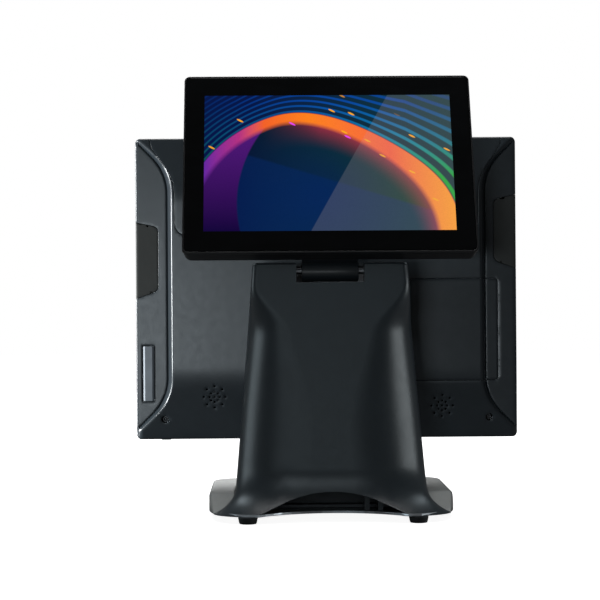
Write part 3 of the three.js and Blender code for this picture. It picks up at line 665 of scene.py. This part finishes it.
def rear_holes():
    """The openings in the rear cover: (loop, edge radius, lip width) each."""
    holes = [(door_loop(SEAM), SEAM_EDGE, 2.0), (rounded(*SIDE_PORT, 0.8, 3), 0.4, 1.2),
             (rounded(*MOUNT_OPENING, 3), 0.5, 1.0)]
    holes += [(circle(x, z, 3.4, 28), 0.2, 1.0) for x, z in COVER_SCREWS]
    for x, z in SPEAKERS:
        centres = [(x, z)] + [(x + r * math.cos(k * math.pi / 4), z + r * math.sin(k * math.pi / 4))
                              for r in (4.6, 9.8) for k in range(8)]
        holes += [(circle(u, v, 1.0, 14), 0.06, 0.1) for u, v in centres]
    return holes


def rear_cover():
    corner = 4.5
    right = arc(HALF - corner, LOW + corner, corner, 270, 360, 6) + cap_seam(*CAPS["right"], SEAM)
    right += arc(HALF - corner, TOP - corner, corner, 0, 90, 6)
    left = arc(-HALF + corner, TOP - corner, corner, 90, 180, 6) + cap_seam(*CAPS["left"], SEAM)[::-1]
    left += arc(-HALF + corner, LOW + corner, corner, 180, 270, 6)
    skin = plate(right + upper_seam(SEAM) + left, rear_surface, REAR_POINTS,
                 lambda u, v: np.where(on_boundary(u, v), SPLIT, NO_WALL), edge_radius, holes=rear_holes())
    cover = add_mesh("rear_cover_moulding", as_rear(skin), "operator_display", "graphite_shell",
                     "rear_cover")
    cable_notch = block(-60, 60, -76, -62, LOW - 5, LOW + 5)
    button_notch = block(143.3, 153.3, -72, -66, LOW - 5, LOW + 5)
    carve(cover, [cable_notch, button_notch])
    rails = [block(-160.4, 160.4, SPLIT, -66.3, TOP - SKIN, TOP)]
    for sign, low, high in CAPS.values():
        outer, inner = sign * HALF, sign * (HALF - SKIN)
        rails.append(block(min(inner, outer), max(inner, outer), SPLIT, -76, low + 0.8, high - 0.8))
    add_mesh("rear_cover_rails", joined(*rails), "operator_display", "graphite_shell", flat=True)


def rear_modules():
    """The upper cover, the drive door and the side caps, each a shell cut from the rear face."""
    cover = plate(upper_seam(0), rear_surface, REAR_POINTS,
                  lambda u, v: np.where(v > TOP - NEAR_EDGE, -66.0, NO_WALL), edge_radius)
    add_mesh("upper_cover_moulding", as_rear(cover), "upper_cover_body", "graphite_shell", "upper_cover")
    door = plate(door_loop(0), rear_surface, REAR_POINTS)
    add_mesh("drive_door_moulding", as_rear(door), "drive_door_body", "graphite_shell", "drive_door")
    for side, (sign, low, high) in CAPS.items():
        cap = plate(cap_seam(sign, low, high, 0), lambda u, v: rear_surface(u, v) - 0.2, REAR_POINTS,
                    lambda u, v: np.where(np.abs(u) > HALF - NEAR_EDGE, -75.7, NO_WALL), edge_radius)
        name = "side_cap_" + side
        add_mesh(name + "_moulding", as_rear(cap), name + "_body", "module_cap", name)


# ---- stand ----
NECK_TOP, NECK_TOP_HALF, NECK_TAPER, NECK_TOP_REAR, NECK_LEAN = 219.5, 66.6, 0.0819, 60.0, 0.1
FLARE_TOP, FLARE, REAR_FLARE_TOP, REAR_FLARE, BASE_LOW, NECK_SPLIT = 28.0, 17.0, 46.0, 25.03, 5.8, 22.0
NECK_EDGE = 3.0
# The rear corners grow rounder going down, and then wider: by how much, from which height and over how much
CORNER_LEAST, CORNER_TOP = 2.5, 5
CORNER_ROUNDER, CORNER_WIDER = (31, 202, 44), (26, 175, 100)
ARCH_PEAK, ARCH_RADIUS, ARCH_HALF, ARCH_FROM = 25.4, 103.0, 61.2, 40
PLATE_TOP = 8.1
HINGE_Y, HINGE_Z, BORE = 48.0, 212.3, 2.7
POCKET_HALF, POCKET_FRONT, POCKET_LOW, LINER_TOP, LINER_REAR = 29.2, 35, 202.4, 217.2, 59.4


def corner_growth(z, amount, start, over):
    return amount * float(smooth((start - z) / over))


def neck_profile(z, inset, arc_steps=14, flat_steps=44, side_steps=6):
    """The rear shell's plan outline at one height, from its right split edge round to the left one."""
    flare = max((FLARE_TOP - z) / (FLARE_TOP - BASE_LOW), 0) ** 3
    rear_flare = max((REAR_FLARE_TOP - z) / (REAR_FLARE_TOP - BASE_LOW), 0) ** 2
    down = NECK_TOP - z
    half = NECK_TOP_HALF + down * NECK_TAPER + FLARE * flare - inset
    rear = NECK_TOP_REAR + down * NECK_LEAN + REAR_FLARE * rear_flare - inset
    radius = max(CORNER_TOP + corner_growth(z, *CORNER_ROUNDER) - inset, CORNER_LEAST)
    across = radius + corner_growth(z, *CORNER_WIDER)
    split = NECK_SPLIT + SEAM / 2
    side = [(half, split + (rear - radius - split) * k / side_steps) for k in range(side_steps)]
    turn = [(half - across + across * math.cos(a), rear - radius + radius * math.sin(a))
            for a in np.linspace(0, math.pi / 2, arc_steps + 1)]
    right = side + turn
    flat = [((half - across) * (1 - 2 * k / flat_steps), rear) for k in range(1, flat_steps)]
    return np.array(right + flat + mirror(right))


def arch_height(x):
    across = np.minimum(np.abs(x), ARCH_HALF)
    return ARCH_PEAK - ARCH_RADIUS + np.sqrt(np.maximum(ARCH_RADIUS ** 2 - across ** 2, 0))


def neck_bottoms(rounds=12):
    """How low each column of the rear shell reaches: the foot, or the arch over the cable opening."""
    low = np.full(len(neck_profile(BASE_LOW, 0)), BASE_LOW)
    for _ in range(rounds):
        at = np.array([neck_profile(z, 0)[i] for i, z in enumerate(low)])
        in_arch = (at[:, 1] > ARCH_FROM) & (np.abs(at[:, 0]) < ARCH_HALF)
        low = np.where(in_arch, np.maximum(arch_height(at[:, 0]), BASE_LOW), BASE_LOW)
    return low


def neck_grid(inset, top, lows, rows=46, levels=260):
    """Rows of points up the shell, closer together where the foot flares."""
    profiles = np.array([neck_profile(z, inset) for z in np.linspace(BASE_LOW, top, levels)])
    columns = np.arange(len(lows))
    out = []
    for k in range(rows + 1):
        t = k / rows
        row = lows + (top - lows) * (0.35 * t + 0.65 * t ** 2)
        at = np.clip((row - BASE_LOW) / (top - BASE_LOW) * (levels - 1), 0, levels - 1.001)
        low, part = at.astype(int), (at - at.astype(int))[:, None]
        plan = profiles[low, columns] * (1 - part) + profiles[low + 1, columns] * part
        out.append([(x, y, z) for (x, y), z in zip(plan, row)])
    return out


def neck_shell():
    """The rear shell: outer and inner skins, joined at the foot, the top and both split edges."""
    lows = neck_bottoms()
    edge_low = NECK_TOP - NECK_EDGE
    outer = neck_grid(0, edge_low, lows)
    for turn in np.radians((15, 30, 45, 60, 75, 90)):
        plan = neck_profile(edge_low, NECK_EDGE * (1 - math.cos(turn)))
        plan[0, 1] = plan[-1, 1] = NECK_SPLIT + SEAM / 2
        outer.append([(x, y, NECK_TOP - NECK_EDGE * (1 - math.sin(turn))) for x, y in plan])
    inner = neck_grid(SKIN, NECK_TOP - SKIN, lows)
    count, rows_out, rows_in = len(lows), len(outer), len(inner)
    at_in = rows_out * count
    faces = []
    for rows, start in ((rows_out, 0), (rows_in, at_in)):
        for r in range(rows - 1):
            a = start + r * count
            faces += [(a + i, a + i + 1, a + count + i + 1, a + count + i) for i in range(count - 1)]
    faces += [(i, i + 1, at_in + i + 1, at_in + i) for i in range(count - 1)]
    top_out, top_in = (rows_out - 1) * count, at_in + (rows_in - 1) * count
    faces += [tuple(top_out + i for i in range(count)), tuple(top_in + i for i in range(count))]
    for edge in (0, count - 1):
        up = [r * count + edge for r in range(rows_out)]
        down = [at_in + r * count + edge for r in range(rows_in)][::-1]
        faces.append(tuple(up + down))
    faces.append((top_out, top_out + count - 1, top_in + count - 1, top_in))
    return [p for row in outer + inner for p in row], faces


def neck_rear():
    """The rear shell with the customer hinge's pocket, the pocket's liner and the ribs in the arch."""
    shell = add_mesh("neck_rear_moulding", neck_shell(), "stand", "graphite_shell", "neck_rear_shell")
    carve(shell, [block(-POCKET_HALF, POCKET_HALF, POCKET_FRONT, 90, POCKET_LOW, 240)])
    outer, front = POCKET_HALF + SKIN, POCKET_FRONT - SKIN
    liner = [block(-outer, outer, front, 60.8, POCKET_LOW - SKIN, POCKET_LOW),
             block(-outer, outer, front, POCKET_FRONT, POCKET_LOW, LINER_TOP)]
    for x0, x1 in ((POCKET_HALF, outer), (-outer, -POCKET_HALF)):
        liner.append(block(x0, x1, POCKET_FRONT, LINER_REAR, POCKET_LOW, LINER_TOP))
    walls = add_mesh("neck_rear_ribs", joined(*liner), "stand", "graphite_shell", flat=True)
    carve(walls, [loft([[(x, y, z) for y, z in circle(HINGE_Y, HINGE_Z, BORE, 16)] for x in (-33.4, 33.4)])])
    ribs = [block(x - 2.2, x + 2.2, 56, 73, PLATE_TOP, 37) for x in (-41, -29.5)]
    add_mesh("neck_arch_ribs", joined(*ribs), "stand", "graphite_shell", flat=True)


BASE_HALF, BASE_FRONT, BASE_REAR, BASE_TOP, BASE_CORNER = 106.0, -106.4, 70.8, 20.7, 24.0
CREASE_AT, CREASE_TOP, BASE_FALL = 41.0, 18.3, 12 / 29
CORE_HALF, CORE_FRONT, CORE_CORNER = 84.2, -30.6, 10
# The cover's edge along the neck's flared foot: out from CORE_HALF, and y
MEETING = [(0.0, 41.0), (2.9, 50.0), (8.0, 60.0), (11.5, 65.0), (16.7, BASE_REAR)]


def base_height(x, y):
    slope = CREASE_TOP - BASE_FALL * (y - CREASE_AT)
    gap = np.clip((slope - BASE_TOP) / 0.8, -1, 1)
    return np.minimum(slope, BASE_TOP) - 0.2 * (1 - np.abs(gap)) ** 2


def base_outline():
    """The cover's outer edge, and back along the neck's foot."""
    flank = curve([(BASE_HALF, 30), (BASE_HALF, 68), (94, 104), (68, 107)], 48)
    side = [(x, y) for x, y in flank if y < BASE_REAR - 0.4]
    outer = [(BASE_HALF - 5.2, BASE_REAR)] + side[::-1] + [(BASE_HALF, 30)]
    outer += arc(BASE_HALF - BASE_CORNER, BASE_FRONT + BASE_CORNER, BASE_CORNER, 0, -90, 16)
    core = [(CORE_HALF + out, y) for out, y in MEETING[:-1]][::-1]
    core += arc(CORE_HALF - CORE_CORNER, CORE_FRONT + CORE_CORNER, CORE_CORNER, 0, -90, 6)
    return outer + mirror(outer) + (core + mirror(core))[::-1]


def base_cover():
    """The silver cover round the neck: a flat top, a crease and a slope down to the rear corners."""
    crease = CREASE_AT - (BASE_TOP - CREASE_TOP) / BASE_FALL
    grid = grid_points(-BASE_HALF, BASE_HALF, BASE_FRONT, 72, 2.4)
    grid = grid[np.abs(grid[:, 1] - crease) > 2.4]
    across = np.arange(-BASE_HALF + 1, BASE_HALF, 2.2)
    lines = [np.stack([across, np.full(len(across), crease + out)], 1) for out in (-1.9, -0.8, 0, 0.8, 1.9)]
    outs, ys = zip(*MEETING)

    def thickness(u, v):
        return np.minimum(SKIN, np.maximum(base_height(u, v) - BASE_LOW, 0.05) * 0.95)

    def radius(u, v):
        on_core = (np.abs(u) < CORE_HALF + np.interp(v, ys, outs) + 0.4) & (v > CORE_FRONT - 0.9)
        rise = np.maximum(base_height(u, v) - BASE_LOW, 0.1)
        return np.where(on_core, SEAM_EDGE, np.minimum(2.6, rise * 0.4))

    shell = plate(base_outline(), base_height, np.concatenate([grid, *lines]), BASE_LOW, radius, thickness)
    add_mesh("base_cover_moulding", shell, "stand", "silver_base", "base_cover")


def feet():
    """Turned rubber feet: (radius, height) from the hollow in the tread out and up the side."""
    profile = [(2.2, 0.0), (2.2, 0.35), (4.4, 0.35), (4.4, 0.0), (6.2, 0.0), (6.9, 0.15), (7.3, 0.6),
               (7.5, 1.4), (7.9, 3.0), (7.9, 3.3), (7.6, 3.45), (7.6, 3.65), (8.1, 3.8), (8.2, 4.4),
               (8.2, 5.3), (8.0, 5.7)]
    for end, x, y in (("front", 84, -88), ("rear", 71.6, 95)):
        for side, sign in (("left", -1), ("right", 1)):
            name = "foot_%s_%s" % (end, side)
            rings = [[(u, v, z) for u, v in circle(sign * x, y, radius, 48)] for radius, z in profile]
            add_mesh(name + "_rubber", loft(rings), "stand", "rubber_foot", name)


# ---- customer display ----
TILT = math.radians(25.7)
C_HALF, C_LOW, C_HIGH = 126.7, 3.7, 181.1
PICTURE_WIDTH, PICTURE_HEIGHT, PICTURE_MIDDLE = 217.0, 136.0, 92.4
PICTURE_SHAPE = PICTURE_WIDTH / PICTURE_HEIGHT


def tilted(part):
    """(x, y towards the customer, z up the display) to the frame."""
    c, s = math.cos(TILT), math.sin(TILT)
    return [(x, HINGE_Y + y * c - z * s, HINGE_Z + y * s + z * c) for x, y, z in part[0]], part[1]


def display_ring(y, inset, radius, under=None):
    """A rounded rectangle `inset` inside the customer display's outline, or `under` at its lower edge."""
    low = C_LOW + (inset if under is None else under)
    return [(x, y, z) for x, z in rounded(-C_HALF + inset, C_HALF - inset, low, C_HIGH - inset, radius, 7)]


def customer_frame():
    section = [(0.0, 24.3), (0.0, 27.3), (0.15, 27.75), (0.55, 28.05), (1.1, 28.1), (1.35, 28.0),
               (1.5, 27.7), (1.5, 26.1), (10.7, 26.1), (10.7, 23.9), (0.5, 23.9), (0.15, 24.0)]
    rings = [display_ring(y, inset, max(5.0 - inset, 2.0)) for inset, y in section]
    add_mesh("customer_frame_moulding", tilted(tube(rings)), "customer_display", "black_plastic",
             "customer_frame")


def customer_shell():
    """The rear shell, from the bottom of its hollow round the rim and over its back: (y, inset, under)."""
    hollow = [(14.1, 7.2, 4.0), (16.0, 4.2, 2.6), (23.6, 2.4, 2.4)]
    outside = [(23.6, 0.4, 0.4), (20.0, 0.9, 0.4), (15.1, 1.8, 0.4), (13.6, 2.6, 0.4), (13.0, 3.0, 0.65),
               (12.5, 3.5, 1.1), (12.2, 4.2, 1.6), (12.1, 5.2, 2.6)]
    rings = [display_ring(y, inset, 4.0, under) for y, inset, under in hollow]
    rings += [display_ring(y, inset, 5.0, under) for y, inset, under in outside]
    add_mesh("customer_rear_moulding", tilted(loft(rings)), "customer_display", "black_plastic",
             "customer_rear_shell")


def customer_glass():
    section = [(26.4, 1.9), (28.0, 1.9), (28.28, 2.02), (28.4, 2.35)]
    rings = [display_ring(y, inset, 3.6) for y, inset in section]
    add_mesh("customer_glass_sheet", tilted(loft(rings)), "customer_display", "front_glass",
             "customer_glass", picture_glass())


def hinge_arm():
    """The barrel on the rear shaft, with the leaf that is screwed to the display's back."""
    half, radius, leaf_low, leaf_back = 24.5, 9.2, 7.8, 11.4
    ends = [(half, BORE), (half, radius - 0.9), (half - 0.25, radius - 0.3), (half - 0.8, radius)]
    section = [(-x, r) for x, r in ends] + ends[::-1]
    barrel = tube([[(x, y, z) for y, z in circle(0, 0, r, 48)] for x, r in section])
    leaf = rounded(-half, half, 7.0, 54.0, 5.0)
    rings = [[(x, y, z) for x, z in leaf] for y in (leaf_low, leaf_back)]
    rings.append([(x, leaf_back + 0.4, z) for x, z in inset_loop(np.array(leaf), 0.4)])
    side = [(2.0, 5.2), (11.6, 5.2), (11.6, 14.0), (leaf_low, 14.0), (5.5, 12.0), (2.0, 9.0)]
    web = [[(x, y, z) for y, z in side] for x in (-half + 0.4, half - 0.4)]
    add_mesh("customer_hinge_moulding", tilted(joined(barrel, loft(rings), loft(web))), "customer_display",
             "graphite_shell", "customer_hinge_arm")


# ---- the customer display's picture, with u across and v up it in picture heights ----
def picture_axes(s):
    """u from the picture's left edge and v from its lower edge."""
    c, n = math.cos(-TILT), math.sin(-TILT)
    y, z = HINGE_Y * MM, HINGE_Z * MM
    turned = s.node("ShaderNodeMapping", Vector=s.place, Rotation=(-TILT, 0, 0),
                    Location=(0, -(y * c - z * n), -(y * n + z * c)))
    split = s.node("ShaderNodeSeparateXYZ", Vector=turned.outputs[0])
    scale = 1 / (PICTURE_HEIGHT * MM)
    u = s.math("MULTIPLY_ADD", split.outputs["X"], -scale, PICTURE_SHAPE / 2)
    v = s.math("MULTIPLY_ADD", split.outputs["Z"], scale, 0.5 - PICTURE_MIDDLE / PICTURE_HEIGHT)
    return u, v


def distance(s, u, v, middle_u, middle_v):
    a, b = s.minus(u, middle_u), s.minus(v, middle_v)
    return s.math("SQRT", s.math("ADD", s.times(a, a), s.times(b, b)))


def ribbon_ring(s, u, v):
    """The distance from the ribbon's centre, bowed so that its right side comes down lower."""
    past = s.math("MAXIMUM", s.minus(u, 0.45), 0.0)
    bow = s.times(s.times(past, past), s.minus(1.65, u))
    return distance(s, u, s.math("MULTIPLY_ADD", bow, 0.45, v), 0.734, 0.0)


def picture_ground(s, u, v):
    """Dark blue to dark green, lighter in the middle, with a violet part at the left."""
    tone = s.mix(s.span(u, 0.2, 1.3), (0.0, 0.003, 0.03, 1), (0.004, 0.045, 0.012, 1))
    middle = s.span(distance(s, u, v, 0.75, 0.25), 0.65, 0.05, 0.0, 0.7)
    tone = s.mix(middle, tone, (0.0, 0.012, 0.085, 1))
    lower = s.span(s.math("ADD", v, s.times(u, 0.35)), 0.66, 0.64, 0.0, 0.4)
    tone = s.mix(lower, tone, (0.0, 0.02, 0.13, 1))
    violet = s.mix(s.span(v, 0.0, 0.75), (0.005, 0.0, 0.04, 1), (0.08, 0.008, 0.19, 1))
    beyond_lens = s.span(distance(s, u, v, 1.16, 0.2), 0.945, 0.955)
    return s.mix(s.times(beyond_lens, s.span(u, 1.0, 0.9)), tone, violet)


def add_ribbon(s, tone, u, ring):
    """The warm ribbon, and the glow inside it."""
    glow = s.mix(s.span(u, 0.5, 1.5), (0.3, 0.012, 0.05, 1), (0.75, 0.06, 0.11, 1))
    amount = s.times(s.span(ring, 0.62, 0.84), s.span(u, 0.35, 0.75))
    tone = s.mix(s.times(amount, amount), tone, glow)
    warm = s.ramp(s.math("DIVIDE", u, PICTURE_SHAPE), (0.0, (0.13, 0.02, 0.35, 1)),
                  (1.0, (1.0, 0.36, 0.02, 1)), (0.14, (0.45, 0.03, 0.22, 1)), (0.24, (0.9, 0.12, 0.02, 1)),
                  (0.42, (1.0, 0.22, 0.01, 1)), (0.75, (0.92, 0.13, 0.05, 1)))
    inner_edge = s.span(u, 0.5, 1.5, 0.80, 0.74)
    ribbon = s.times(s.span(s.minus(ring, inner_edge), 0.0, 0.035), s.span(ring, 0.893, 0.885))
    return s.mix(ribbon, tone, warm)


def add_stripes(s, tone, u, v, ring):
    """Cool stripes on a dark sky, outside the ribbon."""
    sky = s.mix(s.span(u, 0.3, 1.5), (0.0, 0.006, 0.06, 1), (0.004, 0.035, 0.04, 1))
    cool = s.ramp(s.span(v, 0.2, 0.95), (0.25, (0.015, 0.5, 0.03, 1)), (1.0, (0.0, 0.10, 0.62, 1)),
                  (0.6, (0.005, 0.30, 0.42, 1)))
    phase = s.times(s.minus(ring, 0.89), s.span(u, 0.2, 1.3, 190.0, 105.0))
    lines = s.times(s.span(s.math("SINE", phase), 0.1, 0.8), s.span(u, 0.0, 1.2, 0.18, 0.75))
    lines = s.times(lines, s.span(ring, 1.32, 0.95, 0.25, 1.0))
    return s.mix(s.span(ring, 0.885, 0.893), tone, s.mix(lines, sky, cool))


def add_sparks(s, tone, u, v, ring):
    """A few small bright flecks near the ribbon."""
    x = s.math("ADD", s.times(u, 0.8), s.times(v, 0.45))
    y = s.math("MULTIPLY_ADD", v, 1.7, s.times(u, 0.75))
    flat = s.node("ShaderNodeCombineXYZ", X=x, Y=y).outputs[0]
    cells = s.node("ShaderNodeTexVoronoi", {"voronoi_dimensions": "2D"}, Vector=flat, Scale=8.5)
    picks = s.node("ShaderNodeSeparateColor", Color=cells.outputs["Color"])
    chosen = s.span(picks.outputs["Red"], 0.64, 0.66)
    spark = s.times(s.span(cells.outputs["Distance"], 0.115, 0.085), chosen)
    near = s.times(s.span(ring, 0.72, 0.78), s.span(ring, 1.1, 1.05))
    color = s.mix(s.span(picks.outputs["Green"], 0.6, 0.62), (1.0, 0.42, 0.01, 1), (0.85, 0.06, 0.9, 1))
    return s.mix(s.times(spark, near), tone, color)


def picture_glass():
    """Black glass with a lit abstract picture behind it, and a painted reflection: a slanted grey-blue sheen
    mixed into the picture's light over its right side.
    """
    s = dark_glass("customer_screen", (0.0015, 0.0018, 0.0022, 1))
    u, v = picture_axes(s)
    ring = ribbon_ring(s, u, v)
    tone = add_ribbon(s, picture_ground(s, u, v), u, ring)
    tone = add_stripes(s, tone, u, v, ring)
    tone = add_sparks(s, tone, u, v, ring)
    # Painted reflection: beyond this slanted line the emitted picture is mixed with a light grey-blue,
    # standing in for a sheen on the glass.
    painted_sheen_side = s.minus(u, s.math("MULTIPLY_ADD", v, 0.51, 0.68))
    tone = s.mix(s.span(painted_sheen_side, -0.003, 0.003, 0.0, 0.11), tone, (0.30, 0.34, 0.38, 1))
    inside_u = s.math("LESS_THAN", s.math("ABSOLUTE", s.minus(u, PICTURE_SHAPE / 2)), PICTURE_SHAPE / 2)
    inside_v = s.math("LESS_THAN", s.math("ABSOLUTE", s.minus(v, 0.5)), 0.5)
    grain = s.span(s.noise(1500.0, 1.0), 0.3, 0.7, 0.93, 1.05)
    s.set(Emission_Color=tone, Emission_Strength=s.times(s.times(inside_u, inside_v), grain))
    s.set(Specular_IOR_Level=0.18, Coat_Weight=0.0)
    return s.material


# ---- CAD nodes that keep their own mesh ----
def numbered(name):
    return ["%s_%d" % (name, k) for k in range(1, 5)]


def sides(name):
    return [name + "_left", name + "_right"]


KEPT = {
    "black_plastic": ["front_bezel", "power_button", *sides("speaker")],
    "zinc_steel": ["base_plate", "main_hinge_shaft", "customer_hinge_shaft", "chassis_plate",
                   "mount_bracket", *sides("hinge_washer"), *sides("hinge_nut"), *sides("customer_bracket"),
                   *numbered("base_screw"), *numbered("mount_screw"), *numbered("arm_screw")],
    "dark_screw": ["stand_frame", *sides("cover_screw")],
    "satin_aluminium": ["heat_sink", "ssd_drive"],
    "port_plate": ["side_port_plate"],
    "circuit_board": ["mainboard", "customer_board"],
    "lcd": ["lcd_panel", "customer_lcd"],
    "graphite_shell": ["neck_front_shell"],
}


def kept_nodes():
    """Better materials and rounded edges on the CAD nodes that stay."""
    for slot_name, names in KEPT.items():
        for name in names:
            node = frame["nodes"][name]
            node.material_slots[0].material = MATERIALS[slot_name]
            node.modifiers.new("weld", "WELD").merge_threshold = 1e-6
            bevel = node.modifiers.new("edges", "BEVEL")
            bevel.width, bevel.segments = 0.35 * MM, 2
            bevel.limit_method, bevel.angle_limit = "ANGLE", math.radians(40)
    frame["nodes"]["touch_glass"].material_slots[0].material = touch_glass()


def touch_glass():
    """The operator's cover glass: a black printed border round the dark grey of the unlit panel behind."""
    s = dark_glass("touch_glass")
    border_width, fade = 6 * MM, 0.2 * MM
    low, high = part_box("lcd_panel")
    split = s.node("ShaderNodeSeparateXYZ", Vector=s.place)
    lit = 1.0
    for axis, at in (("X", 0), ("Z", 2)):
        middle, half = (low[at] + high[at]) / 2, (high[at] - low[at]) / 2 - border_width
        out = s.math("ABSOLUTE", s.minus(split.outputs[axis], middle))
        lit = s.times(lit, s.span(out, half + fade, half - fade))
    border = s.surface.inputs["Base Color"].links[0].from_socket
    s.set(Base_Color=s.mix(lit, border, (0.010, 0.011, 0.013, 1)))
    return s.material


# ---- studio ----
AMBIENT = 0.10
CAMERA_PLACE, LENS, YAW, PITCH, ROLL = (51.4, 1676.6, 179.8), 113.19, -0.0156, -0.0047, -0.007
DISPLAY_BODIES = {"operator_display", "upper_cover_body", "drive_door_body", "side_cap_right_body",
                  "side_cap_left_body", "power_button_body"}
# name, place, target, width, height, power, colour, what it lights (a group of pieces, or "all")
SOFTBOXES = (
    ("display key", (0.46, 2.1, 0.10), (0.12, -0.04, 0.17), 0.45, 0.18, 9.5, (0.84, 0.94, 1.0), "display"),
    ("left strip", (1.9, 0.15, 0.28), (0.1, 0, 0.2), 0.35, 0.5, 105, (0.95, 0.98, 1.0), "display"),
    ("neck key", (0.5, 2.0, 0.25), (0.0, 0, 0.2), 1.7, 0.8, 4.0, (0.76, 0.92, 1.0), "neck"),
    ("neck left", (1.9, 0.0, 0.42), (0, 0, 0.1), 1.0, 0.8, 7, (0.78, 0.93, 1.0), "neck"),
    ("neck right", (-1.8, 0.45, 0.22), (0, 0, 0.1), 1.2, 0.4, 8, (0.88, 0.97, 1.0), "neck"),
    ("neck above", (0.3, 1.3, 1.5), (0, 0.1, 0.0), 1.0, 0.7, 4, (0.80, 0.93, 1.0), "neck"),
    ("foot left", (1.2, -0.9, 1.5), (0.09, 0.05, 0.02), 0.6, 0.6, 5, (0.80, 0.93, 1.0), "neck"),
    ("foot right", (-1.2, -0.9, 1.5), (-0.09, 0.05, 0.02), 0.6, 0.6, 3.2, (0.80, 0.93, 1.0), "neck"),
    ("base left", (1.9, 0.6, 0.4), (0, 0, 0.2), 0.9, 0.9, 3.5, (0.95, 0.98, 1.0), "base"),
    ("base above", (0.5, 1.3, 1.5), (0, 0.1, 0.0), 1.0, 0.7, 12, (0.95, 0.98, 1.0), "base"),
    ("casing", (0.2, 1.1, 0.07), (0, 0.1, 0.25), 1.2, 0.1, 1.5, (0.9, 0.97, 1.0), "customer"),
    ("top", (0.0, -0.3, 2.0), (0, 0, 0.2), 1.2, 0.7, 20, (1, 1, 1), "all"),
    ("operator side", (0.5, -1.8, 1.2), (0, 0, 0.2), 1.2, 1.2, 24, (1, 1, 1), "all"),
)


def camera():
    """The photograph's viewpoint: square on to the customer side, from about 1.7 m."""
    forward = Vector((math.sin(YAW) * math.cos(PITCH), -math.cos(YAW) * math.cos(PITCH), -math.sin(PITCH)))
    right = Vector((-math.cos(YAW), -math.sin(YAW), 0))
    up = right.cross(forward)
    right, up = (math.cos(ROLL) * right + math.sin(ROLL) * up, -math.sin(ROLL) * right + math.cos(ROLL) * up)
    data = bpy.data.cameras.new("camera")
    data.lens, data.sensor_width, data.clip_start, data.clip_end = LENS, 36.0, 0.05, 20.0
    eye = linked("camera", data)
    turned = Matrix((right, up, -forward)).transposed().to_4x4()
    eye.matrix_world = Matrix.Translation(Vector(CAMERA_PLACE) * MM) @ turned
    bpy.context.scene.camera = eye


def lit_groups():
    """Collections of pieces, for lights that reach only one of them."""
    names = ("display", "neck", "base", "customer")
    groups = {name: bpy.data.collections.new("lit_" + name) for name in names}
    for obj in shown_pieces():
        bodies = set(body_of(obj))
        if bodies & DISPLAY_BODIES:
            group = "display"
        elif obj.name.startswith("base_cover"):
            group = "base"
        elif "stand" in bodies:
            group = "neck"
        else:
            group = "customer"
        groups[group].objects.link(obj)
    return groups


def softbox(name, place, target, width, height, power, color, receivers):
    data = bpy.data.lights.new(name, "AREA")
    data.shape, data.size, data.size_y, data.energy, data.color = "RECTANGLE", width, height, power, color
    lamp = linked(name, data)
    lamp.location = place
    lamp.rotation_euler = (Vector(target) - Vector(place)).to_track_quat("-Z", "Y").to_euler()
    if receivers:
        lamp.light_linking.receiver_collection = receivers


def floor():
    """White paper to the camera, and a dim grey to every other ray, so that it lights the object little."""
    reach, mesh = 6, bpy.data.meshes.new("floor")
    corners = [(x * reach, y * reach, 0) for x, y in ((-1, -1), (1, -1), (1, 1), (-1, 1))]
    mesh.from_pydata(corners, [], [(0, 1, 2, 3)])
    sheet = linked("floor", mesh)
    sheet.location.z = -0.2 * MM
    paper = Shader("floor_paper")
    white = paper.mix(paper.noise(3.0), (0.78, 0.78, 0.78, 1), (0.82, 0.82, 0.82, 1))
    paper.set(Base_Color=white, Roughness=0.9, Specular_IOR_Level=0.0)
    paper.set(Emission_Color=(1, 1, 1, 1), Emission_Strength=0.93)
    dim = paper.node("ShaderNodeBsdfDiffuse", Color=(0.2, 0.2, 0.2, 1)).outputs[0]
    seen = paper.node("ShaderNodeLightPath").outputs["Is Camera Ray"]
    pick = paper.node("ShaderNodeMixShader", _0=seen, _1=dim, _2=paper.surface.outputs[0]).outputs[0]
    out = next(n for n in paper.tree.nodes if n.type == "OUTPUT_MATERIAL")
    paper.feed(out.inputs["Surface"], pick)
    mesh.materials.append(paper.material)
    sheet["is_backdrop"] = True


def backdrop():
    """White behind the object for the camera, and a faint cool light for every other ray."""
    world = bpy.data.worlds.new("studio")
    world.use_nodes = True
    bpy.context.scene.world = world
    nodes, links = world.node_tree.nodes, world.node_tree.links
    nodes.clear()
    path = nodes.new("ShaderNodeLightPath")
    seen, lit = nodes.new("ShaderNodeBackground"), nodes.new("ShaderNodeBackground")
    seen.inputs[0].default_value, seen.inputs[1].default_value = (1, 1, 1, 1), 1.0
    lit.inputs[0].default_value, lit.inputs[1].default_value = (0.96, 0.98, 1, 1), AMBIENT
    pick, out = nodes.new("ShaderNodeMixShader"), nodes.new("ShaderNodeOutputWorld")
    links.new(path.outputs["Is Camera Ray"], pick.inputs[0])
    links.new(lit.outputs[0], pick.inputs[1])
    links.new(seen.outputs[0], pick.inputs[2])
    links.new(pick.outputs[0], out.inputs[0])


def studio():
    floor()
    backdrop()
    groups = lit_groups()
    for *settings, lights in SOFTBOXES:
        softbox(*settings, groups.get(lights))
    bpy.context.scene.view_settings.view_transform = "Standard"


REAR_POINTS = rear_points()
rear_cover()
rear_modules()
neck_rear()
base_cover()
feet()
customer_frame()
customer_shell()
customer_glass()
hinge_arm()
kept_nodes()
camera()
studio()
